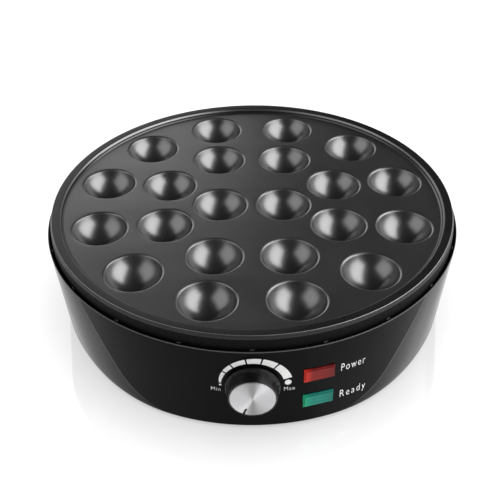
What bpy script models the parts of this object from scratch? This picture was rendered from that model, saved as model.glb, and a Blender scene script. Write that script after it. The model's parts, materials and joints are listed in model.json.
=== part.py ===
"""Cake pop maker: a round electric cooker with one open plate of 22 round cups.

The drum's axis is vertical. Heights are measured from the plate's top face, angles from the
front (-Y) towards the right (+X), and the whole appliance hangs on one empty, which lifts it
onto its feet and centres it front to back.
"""

import math

import bmesh
import bpy
from mathutils import Matrix, Vector

# Clearances and cutting allowances
fit_gap = 0.0003
weld_distance = 0.00001
overrun = 0.002
sink = 0.0008

# Cups and plate
cup_radius = 0.0189
cup_depth = 0.0145
cup_lip_width = 0.0012
cup_lip_share = 0.35
cup_web = 0.0046
cup_wall = 0.0023
cup_segments = 14
cup_rings = 3
dome_segments = 10
dome_rings = 3
plate_thickness = 0.0032
plate_segments = 44
outer_count = 12
inner_count = 8
centre_count = 2

# Rim and skirt of the plate
rim_margin = 0.0038
rim_rise_run = 0.0017
rim_ledge_height = 0.0014
rim_ledge_run = 0.0017
rim_wall_run = 0.0015
rim_step = 0.0028
rim_width = 0.0038
rim_crown = 0.0002
rim_round = 0.0003
skirt_flare = 0.0004
skirt_depth = 0.0095
skirt_thickness = 0.0020
rim_thickness = 0.0026

# Bosses cast under the plate
post_offset = 0.0040
post_boss_radius = 0.0045
clip_boss_radius = 0.0040
small_boss_radius = 0.0035
boss_hole_depth = 0.0100
boss_segments = 8

# Housing
plate_gap = 0.0007
lip_width = 0.0018
lip_drop = 0.0070
edge_round = 0.0008
wall = 0.0024
panel_taper = 0.0009
side_scoop = 0.0054
panel_below_knob = 0.0361
crease_top_angle = math.radians(50.6)
crease_lean = math.radians(30.3)
crease_corner_radius = 0.0450
scoop_top_angle = math.radians(82.0)
scoop_bottom_angle = math.radians(62.0)
scoop_edge_share = 0.55
panel_columns = 6
scoop_columns = 5
side_columns = 2
crease_margin_share = 0.10
line_levels = 3
corner_levels = 3
inner_level_shares = (0.6, 0.3)
lug_count = 20
lug_width = 0.0030
lug_stand = 0.0006
lug_depth = 0.0045

# Bottom: flange inside the housing, cover, feet
base_recess = 0.0042
flange_thickness = 0.0022
flange_reach = 0.0230
flange_boss_radius = 0.0036
flange_boss_height = 0.0060
cover_overlap = 0.0090
cover_thickness = 0.0020
cover_rib_height = 0.0015
cover_rib_width = 0.0015
cover_segments = 28
vent_width = 0.0025
vent_rings = ((0.0240, 0.0200, 6), (0.0580, 0.0200, 12))
foot_stand = 0.0025
foot_radius = 0.0080
foot_tip_radius = 0.0070
foot_neck_radius = 0.0027
foot_barb_radius = 0.0038
foot_barb_tip_radius = 0.0020
foot_barb_height = 0.0025
foot_inset = 0.0060
foot_segments = 10

# Heat shield, posts and element
shield_gap = 0.0013
shield_thickness = 0.0008
shield_inset = 0.0075
shield_rim_rise = 0.0080
shield_rim_run = 0.0030
post_across = 0.0080
post_stud_radius = 0.0020
post_stud_length = 0.0090
post_bore_depth = 0.0120
element_radius = 0.00325
element_bend = 0.0065
element_leg_spread = 0.0210
element_leg_depth = 0.0130
element_steps = 26
bush_radius = 0.0052
bush_flange_radius = 0.0068
bush_height = 0.0050
bush_flange_height = 0.0016
clip_width = 0.0080
clip_thickness = 0.0012
clip_overhang = 0.0040

# Screws
m4_radius = 0.0019
m4_head_radius = 0.0036
m4_head_height = 0.0024
m3_radius = 0.0015
m3_head_radius = 0.0029
m3_head_height = 0.0018
screw_segments = 8
head_crown_share = 0.8
slot_width = 0.0008
slot_depth_share = 0.45
plate_screw_reach = 0.0100
cover_screw_reach = 0.0065
clip_screw_reach = 0.0060
block_screw_reach = 0.0035
fuse_screw_reach = 0.0030

# Thermostat, knob and its shaft
thermostat_clear = 0.0083
thermostat_height = 0.0170
thermostat_width = 0.0300
thermostat_depth = 0.0240
thermostat_seat_gap = 0.0006
thermostat_bevel = 0.0015
stem_radius = 0.0045
stem_stand = 0.0040
nut_across = 0.0140
nut_thickness = 0.0026
nut_gap = 0.0004
shaft_radius = 0.0030
shaft_flat = 0.0008
shaft_inner_reach = 0.0060
knob_gap = 0.0006
knob_base_radius = 0.0170
knob_shoulder_radius = 0.0164
knob_face_radius = 0.0150
knob_length = 0.0101
knob_edge = 0.0006
knob_skirt = 0.0016
knob_cavity_radius = 0.0100
knob_cavity_depth = 0.0044
knob_bore_end = 0.0014
knob_segments = 24
shaft_segments = 12
cap_radius = 0.0140
cap_thickness = 0.0012
cap_seat_depth = 0.0013
cap_chamfer = 0.0004
pointer_start = 0.0090
pointer_width = 0.0017
pointer_angle = math.radians(-156.0)

# Lamps and their lenses
lens_angle = math.radians(16.5)
lens_width = 0.0198
lens_height = 0.0100
lens_stand = 0.0015
lens_depth = 0.0060
lens_bevel = 0.0007
lens_flange = 0.0012
lens_flange_thickness = 0.0012
power_above_knob = 0.0052
ready_below_knob = 0.0168
lamp_radius = 0.0026
lamp_length = 0.0130
lamp_tip_share = 0.45
bracket_width = 0.0200
bracket_thickness = 0.0015
bracket_back_gap = 0.0010

# Plate sensor
bulb_radius = 0.0025
bulb_length = 0.0500
bulb_tip_share = 0.6
capillary_radius = 0.0008
capillary_bend = 0.0050
capillary_run = 0.0150
capillary_hole_radius = 0.0022
bulb_boss_offset = 0.0110
bulb_clip_lap = 0.0110

# Terminal block, fuse, earth screw and wires
block_x = -0.0300
block_inset = 0.0160
block_width = 0.0340
block_depth = 0.0156
block_height = 0.0123
block_bevel = 0.0008
block_port_radius = 0.0022
block_port_depth = 0.0040
block_port_pitch = 0.0100
block_wire_height = 0.0065
block_boss_radius = 0.0045
block_boss_height = 0.0030
fuse_x = 0.0360
fuse_y = 0.0620
fuse_radius = 0.0020
fuse_length = 0.0100
fuse_tip_share = 0.5
fuse_clip_width = 0.0050
fuse_clip_thickness = 0.0008
fuse_clip_reach = 0.0100
fuse_clip_lap = 0.0030
fuse_clip_step = 0.0040
wire_radius = 0.0011
wire_bend = 0.0040
wire_sides = 1
wire_lane = 0.0090
wire_run_in = 0.0130
wire_drop = 0.0220

# Cord gland in the rear wall
gland_below_knob = 0.0150
gland_bore_radius = 0.0037
gland_neck_radius = 0.0060
gland_collar_radius = 0.0090
gland_collar_thickness = 0.0024
gland_stand = 0.0060
gland_inner_reach = 0.0020
gland_segments = 12


def ring_beyond(inner, angle, spacing):
    """Radius of a ring whose cups lie one spacing from the cups of the ring inside it."""
    return inner * math.cos(angle) + math.sqrt(spacing ** 2 - (inner * math.sin(angle)) ** 2)


# Radii that follow from the cups outwards
lip_radius = cup_radius + cup_lip_width
bowl_radius = (cup_radius ** 2 + cup_depth ** 2) / (2 * cup_depth)
bowl_rise = bowl_radius - cup_depth
dome_radius = bowl_radius + cup_wall
cup_spacing = 2 * lip_radius + cup_web
outer_first = math.pi / outer_count
inner_first = math.pi / inner_count
centre_first = math.pi / centre_count
centre_ring = cup_spacing / 2
inner_ring = ring_beyond(centre_ring, inner_first, cup_spacing)
outer_ring = ring_beyond(inner_ring, inner_first - outer_first, cup_spacing)
rim_foot = outer_ring + lip_radius + rim_margin
rim_ledge = rim_foot + rim_rise_run
rim_ledge_end = rim_ledge + rim_ledge_run
rim_crest = rim_ledge_end + rim_wall_run
rim_edge = rim_crest + rim_width
skirt_top_radius = rim_edge + rim_round
skirt_radius = skirt_top_radius + skirt_flare
lip_inner_radius = skirt_radius + plate_gap
housing_radius = lip_inner_radius + lip_width
post_ring = outer_ring + post_offset
element_ring = (inner_ring + outer_ring) / 2

# Heights that follow from the plate downwards
rim_top = rim_step + rim_crown
dome_bottom = -(cup_depth + cup_wall)
shield_top = dome_bottom - shield_gap
shield_under = shield_top - shield_thickness
knob_level = shield_under - thermostat_clear - thermostat_height / 2
housing_top = -lip_drop
housing_bottom = knob_level - panel_below_knob
flange_under = housing_bottom + base_recess
flange_top = flange_under + flange_thickness
cover_top = flange_under - fit_gap
cover_under = cover_top - cover_thickness
floor_level = housing_bottom - foot_stand
stand_height = -floor_level

# The element lies in the groove between the two outer rows of domes
groove_half = (outer_ring - inner_ring) / 2
groove_reach = dome_radius + element_radius + fit_gap
element_least_depth = plate_thickness + element_radius + fit_gap
groove_drop = math.sqrt(max(0, groove_reach ** 2 - groove_half ** 2))
element_depth = max(element_least_depth, groove_drop - bowl_rise)
element_level = -element_depth
element_under = element_level - element_radius
clip_top = element_under - fit_gap
clip_under = clip_top - clip_thickness
leg_bottom = shield_under - element_leg_depth

# The sensor bulb lies between the two centre domes
bulb_reach = dome_radius + bulb_radius + fit_gap
bulb_least_depth = plate_thickness + bulb_radius + fit_gap
bulb_drop = math.sqrt(max(0, bulb_reach ** 2 - centre_ring ** 2))
bulb_depth = max(bulb_least_depth, bulb_drop - bowl_rise)
bulb_level = -bulb_depth
bulb_clip_top = bulb_level - bulb_radius - fit_gap
bulb_boss_y = bulb_length / 2 + bulb_boss_offset

# Places on the front and rear walls


def panel_radius(height):
    """Outer radius of the front and rear panels, which narrow a little to the bottom."""
    share = (housing_top - height) / (housing_top - housing_bottom)
    return housing_radius - panel_taper * share


panel_at_knob = panel_radius(knob_level)
inner_at_knob = panel_at_knob - wall
thermostat_chord = math.sqrt(inner_at_knob ** 2 - (thermostat_width / 2) ** 2)
thermostat_front = thermostat_seat_gap - thermostat_chord
thermostat_back = thermostat_front + thermostat_depth
stem_end = -(panel_at_knob + stem_stand)
knob_base = -(panel_at_knob + knob_gap)
knob_face = knob_length + cap_thickness + fit_gap - cap_seat_depth
gland_level = knob_level - gland_below_knob
panel_at_gland = panel_radius(gland_level)
front_reach = -knob_base + knob_face
rear_reach = panel_at_gland + fit_gap + gland_stand
drum_shift = (front_reach - rear_reach) / 2
cover_radius = lip_inner_radius - flange_reach + cover_overlap
flange_radius = lip_inner_radius - flange_reach
cover_screw_ring = flange_radius + cover_overlap / 2
foot_ring = flange_radius - foot_inset
block_y = outer_ring - block_inset

post_angles = [math.radians(degrees) for degrees in (30, 150, 210, 330)]
clip_angles = [math.radians(degrees) for degrees in (0, 120, 240)]
foot_angles = [math.radians(degrees) for degrees in (45, 135, 225, 315)]
cover_screw_angles = [math.radians(degrees) for degrees in (0, 90, 180, 270)]


def clear_scene():
    """Remove what the scene holds, so that the file holds this appliance only."""
    for leftover in list(bpy.data.objects):
        bpy.data.objects.remove(leftover, do_unlink=True)


def new_collection(name):
    group = bpy.data.collections.new(name)
    bpy.context.scene.collection.children.link(group)
    return group


clear_scene()
parts = new_collection("cake_pop_maker")
cutters = new_collection("cutters")
appliance = bpy.data.objects.new("appliance_frame", None)
parts.objects.link(appliance)
appliance.location = (0, drum_shift, stand_height)


def finish(name, colour, roughness, metallic=0.0, coat=0.0, transmission=0.0):
    """A Principled material of one colour."""
    material = bpy.data.materials.new(name)
    material.use_nodes = True
    shader = material.node_tree.nodes["Principled BSDF"]
    shader.inputs["Base Color"].default_value = (*colour, 1.0)
    shader.inputs["Roughness"].default_value = roughness
    shader.inputs["Metallic"].default_value = metallic
    shader.inputs["Coat Weight"].default_value = coat
    shader.inputs["Transmission Weight"].default_value = transmission
    material.diffuse_color = (*colour, 1.0)
    return material


nonstick = finish("nonstick_coating", (0.060, 0.061, 0.063), 0.36, coat=0.2)
gloss_black = finish("gloss_black_plastic", (0.012, 0.012, 0.013), 0.16, coat=0.5)
knob_black = finish("satin_black_plastic", (0.015, 0.015, 0.016), 0.34)
brushed = finish("brushed_aluminium", (0.80, 0.80, 0.81), 0.28, metallic=1.0)
red_lens = finish("red_lens", (0.62, 0.035, 0.022), 0.12, transmission=0.3)
green_lens = finish("green_lens", (0.03, 0.34, 0.20), 0.12, transmission=0.3)
glass = finish("lamp_glass", (0.85, 0.80, 0.74), 0.05, transmission=0.8)
steel = finish("zinc_plated_steel", (0.60, 0.61, 0.62), 0.38, metallic=1.0)
sheet = finish("aluminised_sheet", (0.66, 0.67, 0.68), 0.34, metallic=1.0)
sheath = finish("element_sheath", (0.30, 0.29, 0.28), 0.46, metallic=1.0)
ceramic = finish("steatite", (0.86, 0.83, 0.76), 0.5)
resin = finish("cream_resin", (0.72, 0.66, 0.52), 0.45)
copper = finish("copper_tube", (0.72, 0.38, 0.24), 0.35, metallic=1.0)
rubber = finish("foot_rubber", (0.03, 0.03, 0.03), 0.85)
base_black = finish("base_plastic", (0.025, 0.025, 0.026), 0.6)
silicone_brown = finish("brown_wire", (0.20, 0.09, 0.04), 0.55)
silicone_blue = finish("blue_wire", (0.04, 0.14, 0.42), 0.55)
silicone_green = finish("earth_wire", (0.20, 0.42, 0.06), 0.55)
silicone_white = finish("white_wire", (0.78, 0.78, 0.76), 0.55)


def put(name, data, material, at=(0, 0, 0), turn=(0, 0, 0)):
    """Place an object in the appliance's own frame."""
    piece = bpy.data.objects.new(name, data)
    parts.objects.link(piece)
    piece.parent = appliance
    piece.location = at
    piece.rotation_euler = turn
    data.materials.append(material)
    return piece


def put_cutter(name, data, at=(0, 0, 0), turn=(0, 0, 0)):
    """A shape that only cuts or joins: drawn as wire, left out of renders."""
    cutter = bpy.data.objects.new(name, data)
    cutters.objects.link(cutter)
    cutter.parent = appliance
    cutter.location = at
    cutter.rotation_euler = turn
    cutter.hide_render = True
    cutter.display_type = "WIRE"
    return cutter


def combine(piece, cutter, operation):
    """Cut the piece by the cutter, or join the cutter to it."""
    step = piece.modifiers.new(operation.lower(), "BOOLEAN")
    step.operation = operation
    step.object = cutter
    step.use_self = operation == "UNION"


def smooth_above(mesh, degrees=32.0):
    mesh.shade_smooth()
    mesh.set_sharp_from_angle(angle=math.radians(degrees))


def bevelled(piece, width, segments=2):
    edge = piece.modifiers.new("bevel", "BEVEL")
    edge.width = width
    edge.segments = segments
    edge.limit_method = "ANGLE"
    return piece


def mesh_of(name, build):
    """A mesh from a function that fills a bmesh."""
    mesh = bpy.data.meshes.new(name)
    work = bmesh.new()
    build(work)
    bmesh.ops.remove_doubles(work, verts=work.verts, dist=weld_distance)
    bmesh.ops.recalc_face_normals(work, faces=work.faces)
    work.to_mesh(mesh)
    work.free()
    smooth_above(mesh)
    return mesh


def add_block(work, size, centre, turn=0.0):
    """A box of the given size, turned about its own vertical."""
    place = Matrix.Translation(centre) @ Matrix.Rotation(turn, 4, "Z") @ Matrix.Diagonal((*size, 1))
    bmesh.ops.create_cube(work, size=1, matrix=place)


def add_rod(work, radius, low, high, at, segments=boss_segments, end_radius=None):
    """An upright cylinder or cone between two heights."""
    middle = Matrix.Translation((at[0], at[1], (low + high) / 2))
    top = radius if end_radius is None else end_radius
    bmesh.ops.create_cone(
        work, cap_ends=True, segments=segments, radius1=radius, radius2=top,
        depth=high - low, matrix=middle,
    )


def add_spun(work, profile, at, segments):
    """A profile of (radius, height) points from axis to axis, spun about an upright axis."""
    centre = Vector((at[0], at[1], 0))
    points = [work.verts.new(centre + Vector((radius, 0, height))) for radius, height in profile]
    edges = [work.edges.new(pair) for pair in zip(points, points[1:])]
    bmesh.ops.spin(
        work, geom=points + edges, cent=centre, axis=(0, 0, 1),
        angle=2 * math.pi, steps=segments, use_merge=True,
    )


def turned(name, profile, material, segments, at=(0, 0, 0), turn=(0, 0, 0), ring=False):
    """A piece turned about its own Z from (radius, height) points, outer side top to bottom."""
    mesh = bpy.data.meshes.new(name)
    count = len(profile)
    edges = [(index, index + 1) for index in range(count - 1)]
    if ring:
        edges.append((count - 1, 0))
    mesh.from_pydata([(radius, 0, height) for radius, height in profile], edges, [])
    piece = put(name, mesh, material, at, turn)
    screw = piece.modifiers.new("turn", "SCREW")
    screw.steps = segments
    screw.render_steps = segments
    screw.use_merge_vertices = True
    screw.merge_threshold = weld_distance
    screw.use_smooth_shade = True
    return piece


def flat_outline(name, outline, thickness, material, at=(0, 0, 0), turn=(0, 0, 0)):
    """A flat piece from an outline in its own XY plane, half its thickness each side of it."""
    curve = bpy.data.curves.new(name, "CURVE")
    curve.dimensions = "2D"
    curve.fill_mode = "BOTH"
    curve.extrude = thickness / 2
    spline = curve.splines.new("POLY")
    spline.points.add(len(outline) - 1)
    spline.use_cyclic_u = True
    for point, (x, y) in zip(spline.points, outline):
        point.co = (x, y, 0, 1)
    return meshed(put(name, curve, material, at, turn), material)


def meshed(curve_piece, material):
    """The same piece as a mesh with its caps welded, so that it can be cut."""
    bpy.context.view_layer.update()
    ready = curve_piece.evaluated_get(bpy.context.evaluated_depsgraph_get())
    mesh = bpy.data.meshes.new_from_object(ready)
    work = bmesh.new()
    work.from_mesh(mesh)
    bmesh.ops.remove_doubles(work, verts=work.verts, dist=weld_distance)
    bmesh.ops.recalc_face_normals(work, faces=work.faces)
    work.to_mesh(mesh)
    work.free()
    name = curve_piece.name
    at = tuple(curve_piece.location)
    turn = tuple(curve_piece.rotation_euler)
    bpy.data.objects.remove(curve_piece, do_unlink=True)
    mesh.materials.clear()
    piece = put(name, mesh, material, at, turn)
    piece.name = name
    smooth_above(mesh)
    return piece


def rounded_path(points, bend, steps=2):
    """The path through the points with each corner replaced by an arc of the bend's radius."""
    path = [Vector(points[0])]
    for before, corner, after in zip(points, points[1:], points[2:]):
        corner = Vector(corner)
        back = Vector(before) - corner
        ahead = Vector(after) - corner
        half = back.angle(ahead) / 2
        reach = min(bend / math.tan(half), back.length / 2, ahead.length / 2)
        centre_way = (back.normalized() + ahead.normalized()).normalized()
        centre = corner + centre_way * (reach / math.cos(half))
        start = corner + back.normalized() * reach - centre
        end = corner + ahead.normalized() * reach - centre
        sweep = start.angle(end)
        for step in range(steps + 1):
            share = step / steps
            blend = start * math.sin((1 - share) * sweep) + end * math.sin(share * sweep)
            path.append(centre + blend / math.sin(sweep))
    path.append(Vector(points[-1]))
    return path


def tube(name, path, radius, material, sides=2):
    """A round bar along a path, with closed ends."""
    curve = bpy.data.curves.new(name, "CURVE")
    curve.dimensions = "3D"
    curve.bevel_depth = radius
    curve.bevel_resolution = sides
    curve.use_fill_caps = True
    spline = curve.splines.new("POLY")
    spline.points.add(len(path) - 1)
    for point, place in zip(spline.points, path):
        point.co = (*place, 1)
    return put(name, curve, material)


def around(radius, angle, height=0.0):
    """A point at an angle from the front."""
    return Vector((radius * math.sin(angle), -radius * math.cos(angle), height))


def facing(angle):
    """Turn that points a piece's own Z outwards at an angle from the front, its Y upwards."""
    return (math.pi / 2, 0, angle)


def cup_places():
    """Centres of all cups, ring by ring."""
    rings = (
        (outer_ring, outer_count, outer_first),
        (inner_ring, inner_count, inner_first),
        (centre_ring, centre_count, centre_first),
    )
    places = []
    for radius, count, first in rings:
        for index in range(count):
            places.append(around(radius, first + 2 * math.pi * index / count))
    return places


def bowl_profile(radius, first_depth, rings):
    """Arc about a centre above the cup, from a depth below the plate's face down to the axis."""
    first = math.asin((first_depth + bowl_rise) / radius)
    points = []
    for step in range(rings + 1):
        angle = first + (math.pi / 2 - first) * step / rings
        points.append((radius * math.cos(angle), bowl_rise - radius * math.sin(angle)))
    points[-1] = (0, bowl_rise - radius)
    return points


def cup_hollow_profile():
    """Cup with a rounded lip; it starts above the plate so that the cut is clean."""
    share = cup_lip_share
    rise = share * cup_lip_width
    flare = lip_radius + (1 - share) * cup_lip_width
    lip = [(0, rise), (flare, rise), (cup_radius + share * cup_lip_width, -rise)]
    return lip + bowl_profile(bowl_radius, cup_lip_width, cup_rings)


def dome_profile():
    """Outer shell of a cup, rooted in the plate's thickness."""
    root = plate_thickness / 2
    return [(0, -root)] + bowl_profile(dome_radius, root, dome_rings)


def boss_table():
    """Bosses under the plate: centre, radius, lowest height."""
    deep = shield_top + fit_gap
    shallow = clip_top + fit_gap
    table = [(around(post_ring, angle), post_boss_radius, deep) for angle in post_angles]
    table.append((around(post_ring, math.pi), post_boss_radius, deep))
    table += [(around(post_ring, angle), clip_boss_radius, shallow) for angle in clip_angles]
    table.append((Vector((0, bulb_boss_y, 0)), small_boss_radius, bulb_clip_top + fit_gap))
    return table


def boss_hole_radius(radius):
    """Holes for posts and the earth screw are M4 with clearance, the others M3."""
    if radius == post_boss_radius:
        return post_stud_radius + fit_gap
    return m3_radius + fit_gap


def make_hot_plate():
    """Cast plate: disc, raised rim and skirt, cup shells and bosses below, cups cut from above."""
    skirt_inner = skirt_radius - skirt_thickness
    rim_under = rim_top - rim_thickness
    half_round = rim_round * math.sin(math.pi / 4)
    profile = [
        (0, 0),
        (rim_foot, 0),
        (rim_ledge, rim_ledge_height),
        (rim_ledge_end, rim_ledge_height),
        (rim_crest, rim_step),
        (rim_edge, rim_top),
        (rim_edge + half_round, rim_top - rim_round + half_round),
        (skirt_top_radius, rim_top - rim_round),
        (skirt_radius, -skirt_depth),
        (skirt_inner, -skirt_depth),
        (skirt_inner - skirt_flare, rim_under),
        (rim_ledge, -plate_thickness),
        (0, -plate_thickness),
    ]
    plate = turned("hot_plate", profile, nonstick, plate_segments)

    def fill_castings(work):
        for place in cup_places():
            add_spun(work, dome_profile(), place, dome_segments)
        for place, radius, low in boss_table():
            add_rod(work, radius, low, -plate_thickness / 2, place)

    def fill_hollows(work):
        for place in cup_places():
            add_spun(work, cup_hollow_profile(), place, cup_segments)
        for place, radius, low in boss_table():
            deepest = max(low + boss_hole_depth, low)
            top = min(deepest, -plate_thickness)
            add_rod(work, boss_hole_radius(radius), low - overrun, top, place)

    combine(plate, put_cutter("cup_shells_and_bosses", mesh_of("castings", fill_castings)), "UNION")
    combine(plate, put_cutter("cup_hollows_and_holes", mesh_of("hollows", fill_hollows)), "DIFFERENCE")
    return plate


def crease_half_width(height):
    """Half width of the front panel at a height: a leaning line, then a round corner."""
    top_half = housing_radius * math.sin(crease_top_angle)
    turn = math.pi / 2 - crease_lean
    tangent = crease_corner_radius * math.tan(turn / 2)
    corner = top_half - math.tan(crease_lean) * (housing_top - housing_bottom)
    arc_top = housing_bottom + tangent * math.cos(crease_lean)
    if height >= arc_top:
        return top_half - math.tan(crease_lean) * (housing_top - height)
    centre = corner - tangent
    rise = housing_bottom + crease_corner_radius - height
    return centre + math.sqrt(max(0, crease_corner_radius ** 2 - rise ** 2))


def crease_angle(height):
    return math.asin(crease_half_width(height) / panel_radius(height))


def scoop_end_angle(height):
    """Angle at which the side's scoop has reached its full depth."""
    share = (housing_top - height) / (housing_top - housing_bottom)
    return scoop_top_angle + (scoop_bottom_angle - scoop_top_angle) * share


def wall_radius(angle, height):
    """Outer radius of the housing: panel in front and behind, scooped between the creases."""
    share = (housing_top - height) / (housing_top - housing_bottom)
    fold = abs(math.atan2(math.sin(angle), math.cos(angle)))
    fold = min(fold, math.pi - fold)
    start = crease_angle(height)
    along = (fold - start) / (scoop_end_angle(height) - start)
    along = min(1.0, max(0.0, along))
    sharp = 1 - (1 - along) ** 3
    soft = along * along * (3 - 2 * along)
    edge = scoop_edge_share * (1 - share ** 4)
    return panel_radius(height) - side_scoop * share * (edge * sharp + (1 - edge) * soft)


def housing_columns():
    """Columns of one quarter as (zone, share in the zone), from the front to the side."""
    margin = crease_margin_share
    panel = [index / panel_columns for index in range(panel_columns)]
    scoop = [index / scoop_columns for index in range(scoop_columns)]
    quarter = [("panel", share) for share in panel + [1 - margin / panel_columns]]
    quarter += [("scoop", share) for share in [0, margin / scoop_columns] + scoop[1:]]
    quarter += [("side", index / side_columns) for index in range(side_columns)]
    return quarter


def column_angle(zone, share, height):
    start = crease_angle(height)
    end = scoop_end_angle(height)
    if zone == "panel":
        return share * start
    if zone == "scoop":
        return start + share * (end - start)
    return end + share * (math.pi / 2 - end)


def column_angles(height):
    """Angles of all columns at a height, once round from the front towards the right."""
    quarter = [column_angle(zone, share, height) for zone, share in housing_columns()]
    rest = [math.pi - angle for angle in reversed(quarter[1:])]
    half = quarter + [math.pi / 2] + rest
    other = [math.pi + angle for angle in half]
    return half + other


def outer_heights():
    """Heights of the outer wall's rings, closer together where the crease curves."""
    turn = math.pi / 2 - crease_lean
    tangent = crease_corner_radius * math.tan(turn / 2)
    arc_top = housing_bottom + tangent * math.cos(crease_lean)
    top = housing_top - edge_round
    straight = [top + (arc_top - top) * step / line_levels for step in range(line_levels)]
    centre = housing_bottom + crease_corner_radius
    bend = []
    for step in range(corner_levels):
        angle = crease_lean + turn * step / corner_levels
        bend.append(centre - crease_corner_radius * math.sin(angle))
    low = housing_bottom + edge_round
    return straight + [height for height in bend if height > low + edge_round] + [low]


def housing_rings():
    """Closed section of the housing as rings of (radius by angle, height), going clockwise."""
    def at_radius(radius):
        return lambda angle, height: radius

    def off_wall(offset):
        return lambda angle, height: wall_radius(angle, height) - offset

    rings = [
        (at_radius(lip_inner_radius), housing_top),
        (at_radius(housing_radius - edge_round), housing_top),
    ]
    rings += [(wall_radius, height) for height in outer_heights()]
    rings.append((off_wall(edge_round), housing_bottom))
    rings.append((off_wall(wall), housing_bottom))
    rings.append((off_wall(wall), flange_under))
    rings.append((at_radius(flange_radius), flange_under))
    rings.append((at_radius(flange_radius), flange_top))
    rings.append((off_wall(wall), flange_top))
    span = housing_top - flange_top
    rings += [(off_wall(wall), housing_top - span * share) for share in inner_level_shares]
    rings.append((at_radius(lip_inner_radius), housing_top - lug_depth))
    return rings


def make_housing():
    """Drum-shaped moulding: a loft of unlike sections, with the panel's crease as an edge."""
    def fill_wall(work):
        rows = []
        for radius_at, height in housing_rings():
            row = []
            for angle in column_angles(height):
                row.append(work.verts.new(around(radius_at(angle, height), angle, height)))
            rows.append(row)
        for row, below in zip(rows, rows[1:] + rows[:1]):
            count = len(row)
            for index in range(count):
                after = (index + 1) % count
                work.faces.new((row[index], row[after], below[after], below[index]))

    def fill_joined(work):
        inner = skirt_radius + fit_gap
        outer = lip_inner_radius + sink
        top = housing_top + lug_stand
        low = housing_top - lug_depth + sink
        size = (lug_width, outer - inner, top - low)
        for index in range(lug_count):
            angle = 2 * math.pi * index / lug_count
            add_block(work, size, around((inner + outer) / 2, angle, (top + low) / 2), angle)
        root = flange_top - flange_thickness / 2
        for angle in cover_screw_angles:
            place = around(cover_screw_ring, angle)
            add_rod(work, flange_boss_radius, root, flange_top + flange_boss_height, place)

    def fill_cut(work):
        blind = flange_under + cover_screw_reach + fit_gap
        for angle in cover_screw_angles:
            place = around(cover_screw_ring, angle)
            add_rod(work, m3_radius + fit_gap, flange_under - overrun, blind, place, screw_segments)

    housing = put("housing", mesh_of("housing_wall", fill_wall), gloss_black)
    combine(housing, put_cutter("lugs_and_bosses", mesh_of("joined", fill_joined)), "UNION")
    combine(housing, put_cutter("cover_screw_holes", mesh_of("screw_holes", fill_cut)), "DIFFERENCE")
    for name, angle, height, radius in (
        ("thermostat_hole", 0, knob_level, stem_radius + fit_gap),
        ("gland_hole", math.pi, gland_level, gland_neck_radius + fit_gap),
    ):
        def fill_hole(work, radius=radius):
            add_rod(work, radius, -wall - overrun, overrun, (0, 0), gland_segments)

        place = around(panel_radius(height), angle, height)
        combine(housing, put_cutter(name, mesh_of(name, fill_hole), place, facing(angle)), "DIFFERENCE")
    for name, height in lens_table():
        def fill_window(work):
            size = (lens_width + 2 * fit_gap, lens_height + 2 * fit_gap, wall + 2 * overrun)
            add_block(work, size, (0, 0, -wall / 2))

        window = mesh_of(name + "_window", fill_window)
        place = around(panel_radius(height), lens_angle, height)
        combine(housing, put_cutter(name + "_window", window, place, facing(lens_angle)), "DIFFERENCE")
    return housing


def lens_table():
    """Names and heights of the two indicator lenses."""
    return (("power", knob_level + power_above_knob), ("ready", knob_level - ready_below_knob))


def wall_sag(half_width):
    """How far the faceted inner wall falls back behind a flat seat of that half width."""
    facet = crease_top_angle / panel_columns / 2
    return half_width ** 2 / (2 * inner_at_knob) + inner_at_knob * (1 - math.cos(facet))


def make_lenses():
    """Bevelled lens blocks set through the wall from inside, each with a flange behind it."""
    flange_front = -(wall + wall_sag(lens_width / 2 + lens_flange) + fit_gap)
    colours = {"power": red_lens, "ready": green_lens}
    for name, height in lens_table():
        def fill_block(work):
            size = (lens_width, lens_height, lens_depth + lens_stand)
            add_block(work, size, (0, 0, (lens_stand - lens_depth) / 2))

        def fill_flange(work):
            size = (lens_width + 2 * lens_flange, lens_height + 2 * lens_flange, lens_flange_thickness)
            add_block(work, size, (0, 0, flange_front - lens_flange_thickness / 2))

        place = around(panel_radius(height), lens_angle, height)
        turn = facing(lens_angle)
        lens = put(name + "_lens", mesh_of(name + "_block", fill_block), colours[name], place, turn)
        bevelled(lens, lens_bevel, 1)
        combine(lens, put_cutter(name + "_flange", mesh_of(name + "_rim", fill_flange), place, turn), "UNION")


def lamp_radius_place(height):
    """Distance of a lamp's axis from the drum's axis, just behind its lens."""
    return panel_radius(height) - lens_depth - fit_gap - lamp_radius


def make_lamps():
    """Neon lamps lying across the back of their lenses, and the comb-shaped bracket round them."""
    for name, height in lens_table():
        half = lamp_length / 2
        tip = lamp_radius * lamp_tip_share
        profile = [
            (0, half),
            (tip, half),
            (lamp_radius, half - lamp_radius),
            (lamp_radius, tip - half),
            (lamp_radius - tip / 2, -half),
            (0, -half),
        ]
        place = around(lamp_radius_place(height), lens_angle, height)
        turn = (0, math.pi / 2, lens_angle)
        turned(name + "_lamp", profile, glass, screw_segments, place, turn)
    (_, high), (_, low) = lens_table()
    front = panel_radius(low) - lens_depth - fit_gap
    back = lamp_radius_place(low) - lamp_radius - bracket_back_gap
    rear = back - bracket_thickness
    half = bracket_thickness / 2
    top = high + lens_height / 2 - half
    bottom = low - lens_height / 2 + half
    middle = (high + low) / 2
    outline = [
        (rear, bottom - half),
        (front, bottom - half),
        (front, bottom + half),
        (back, bottom + half),
        (back, middle - half),
        (front, middle - half),
        (front, middle + half),
        (back, middle + half),
        (back, top - half),
        (front, top - half),
        (front, top + half),
        (rear, top + half),
    ]
    turn = (math.pi / 2, 0, lens_angle - math.pi / 2)
    flat_outline("lamp_bracket", outline, bracket_width, resin, (0, 0, 0), turn)


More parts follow.
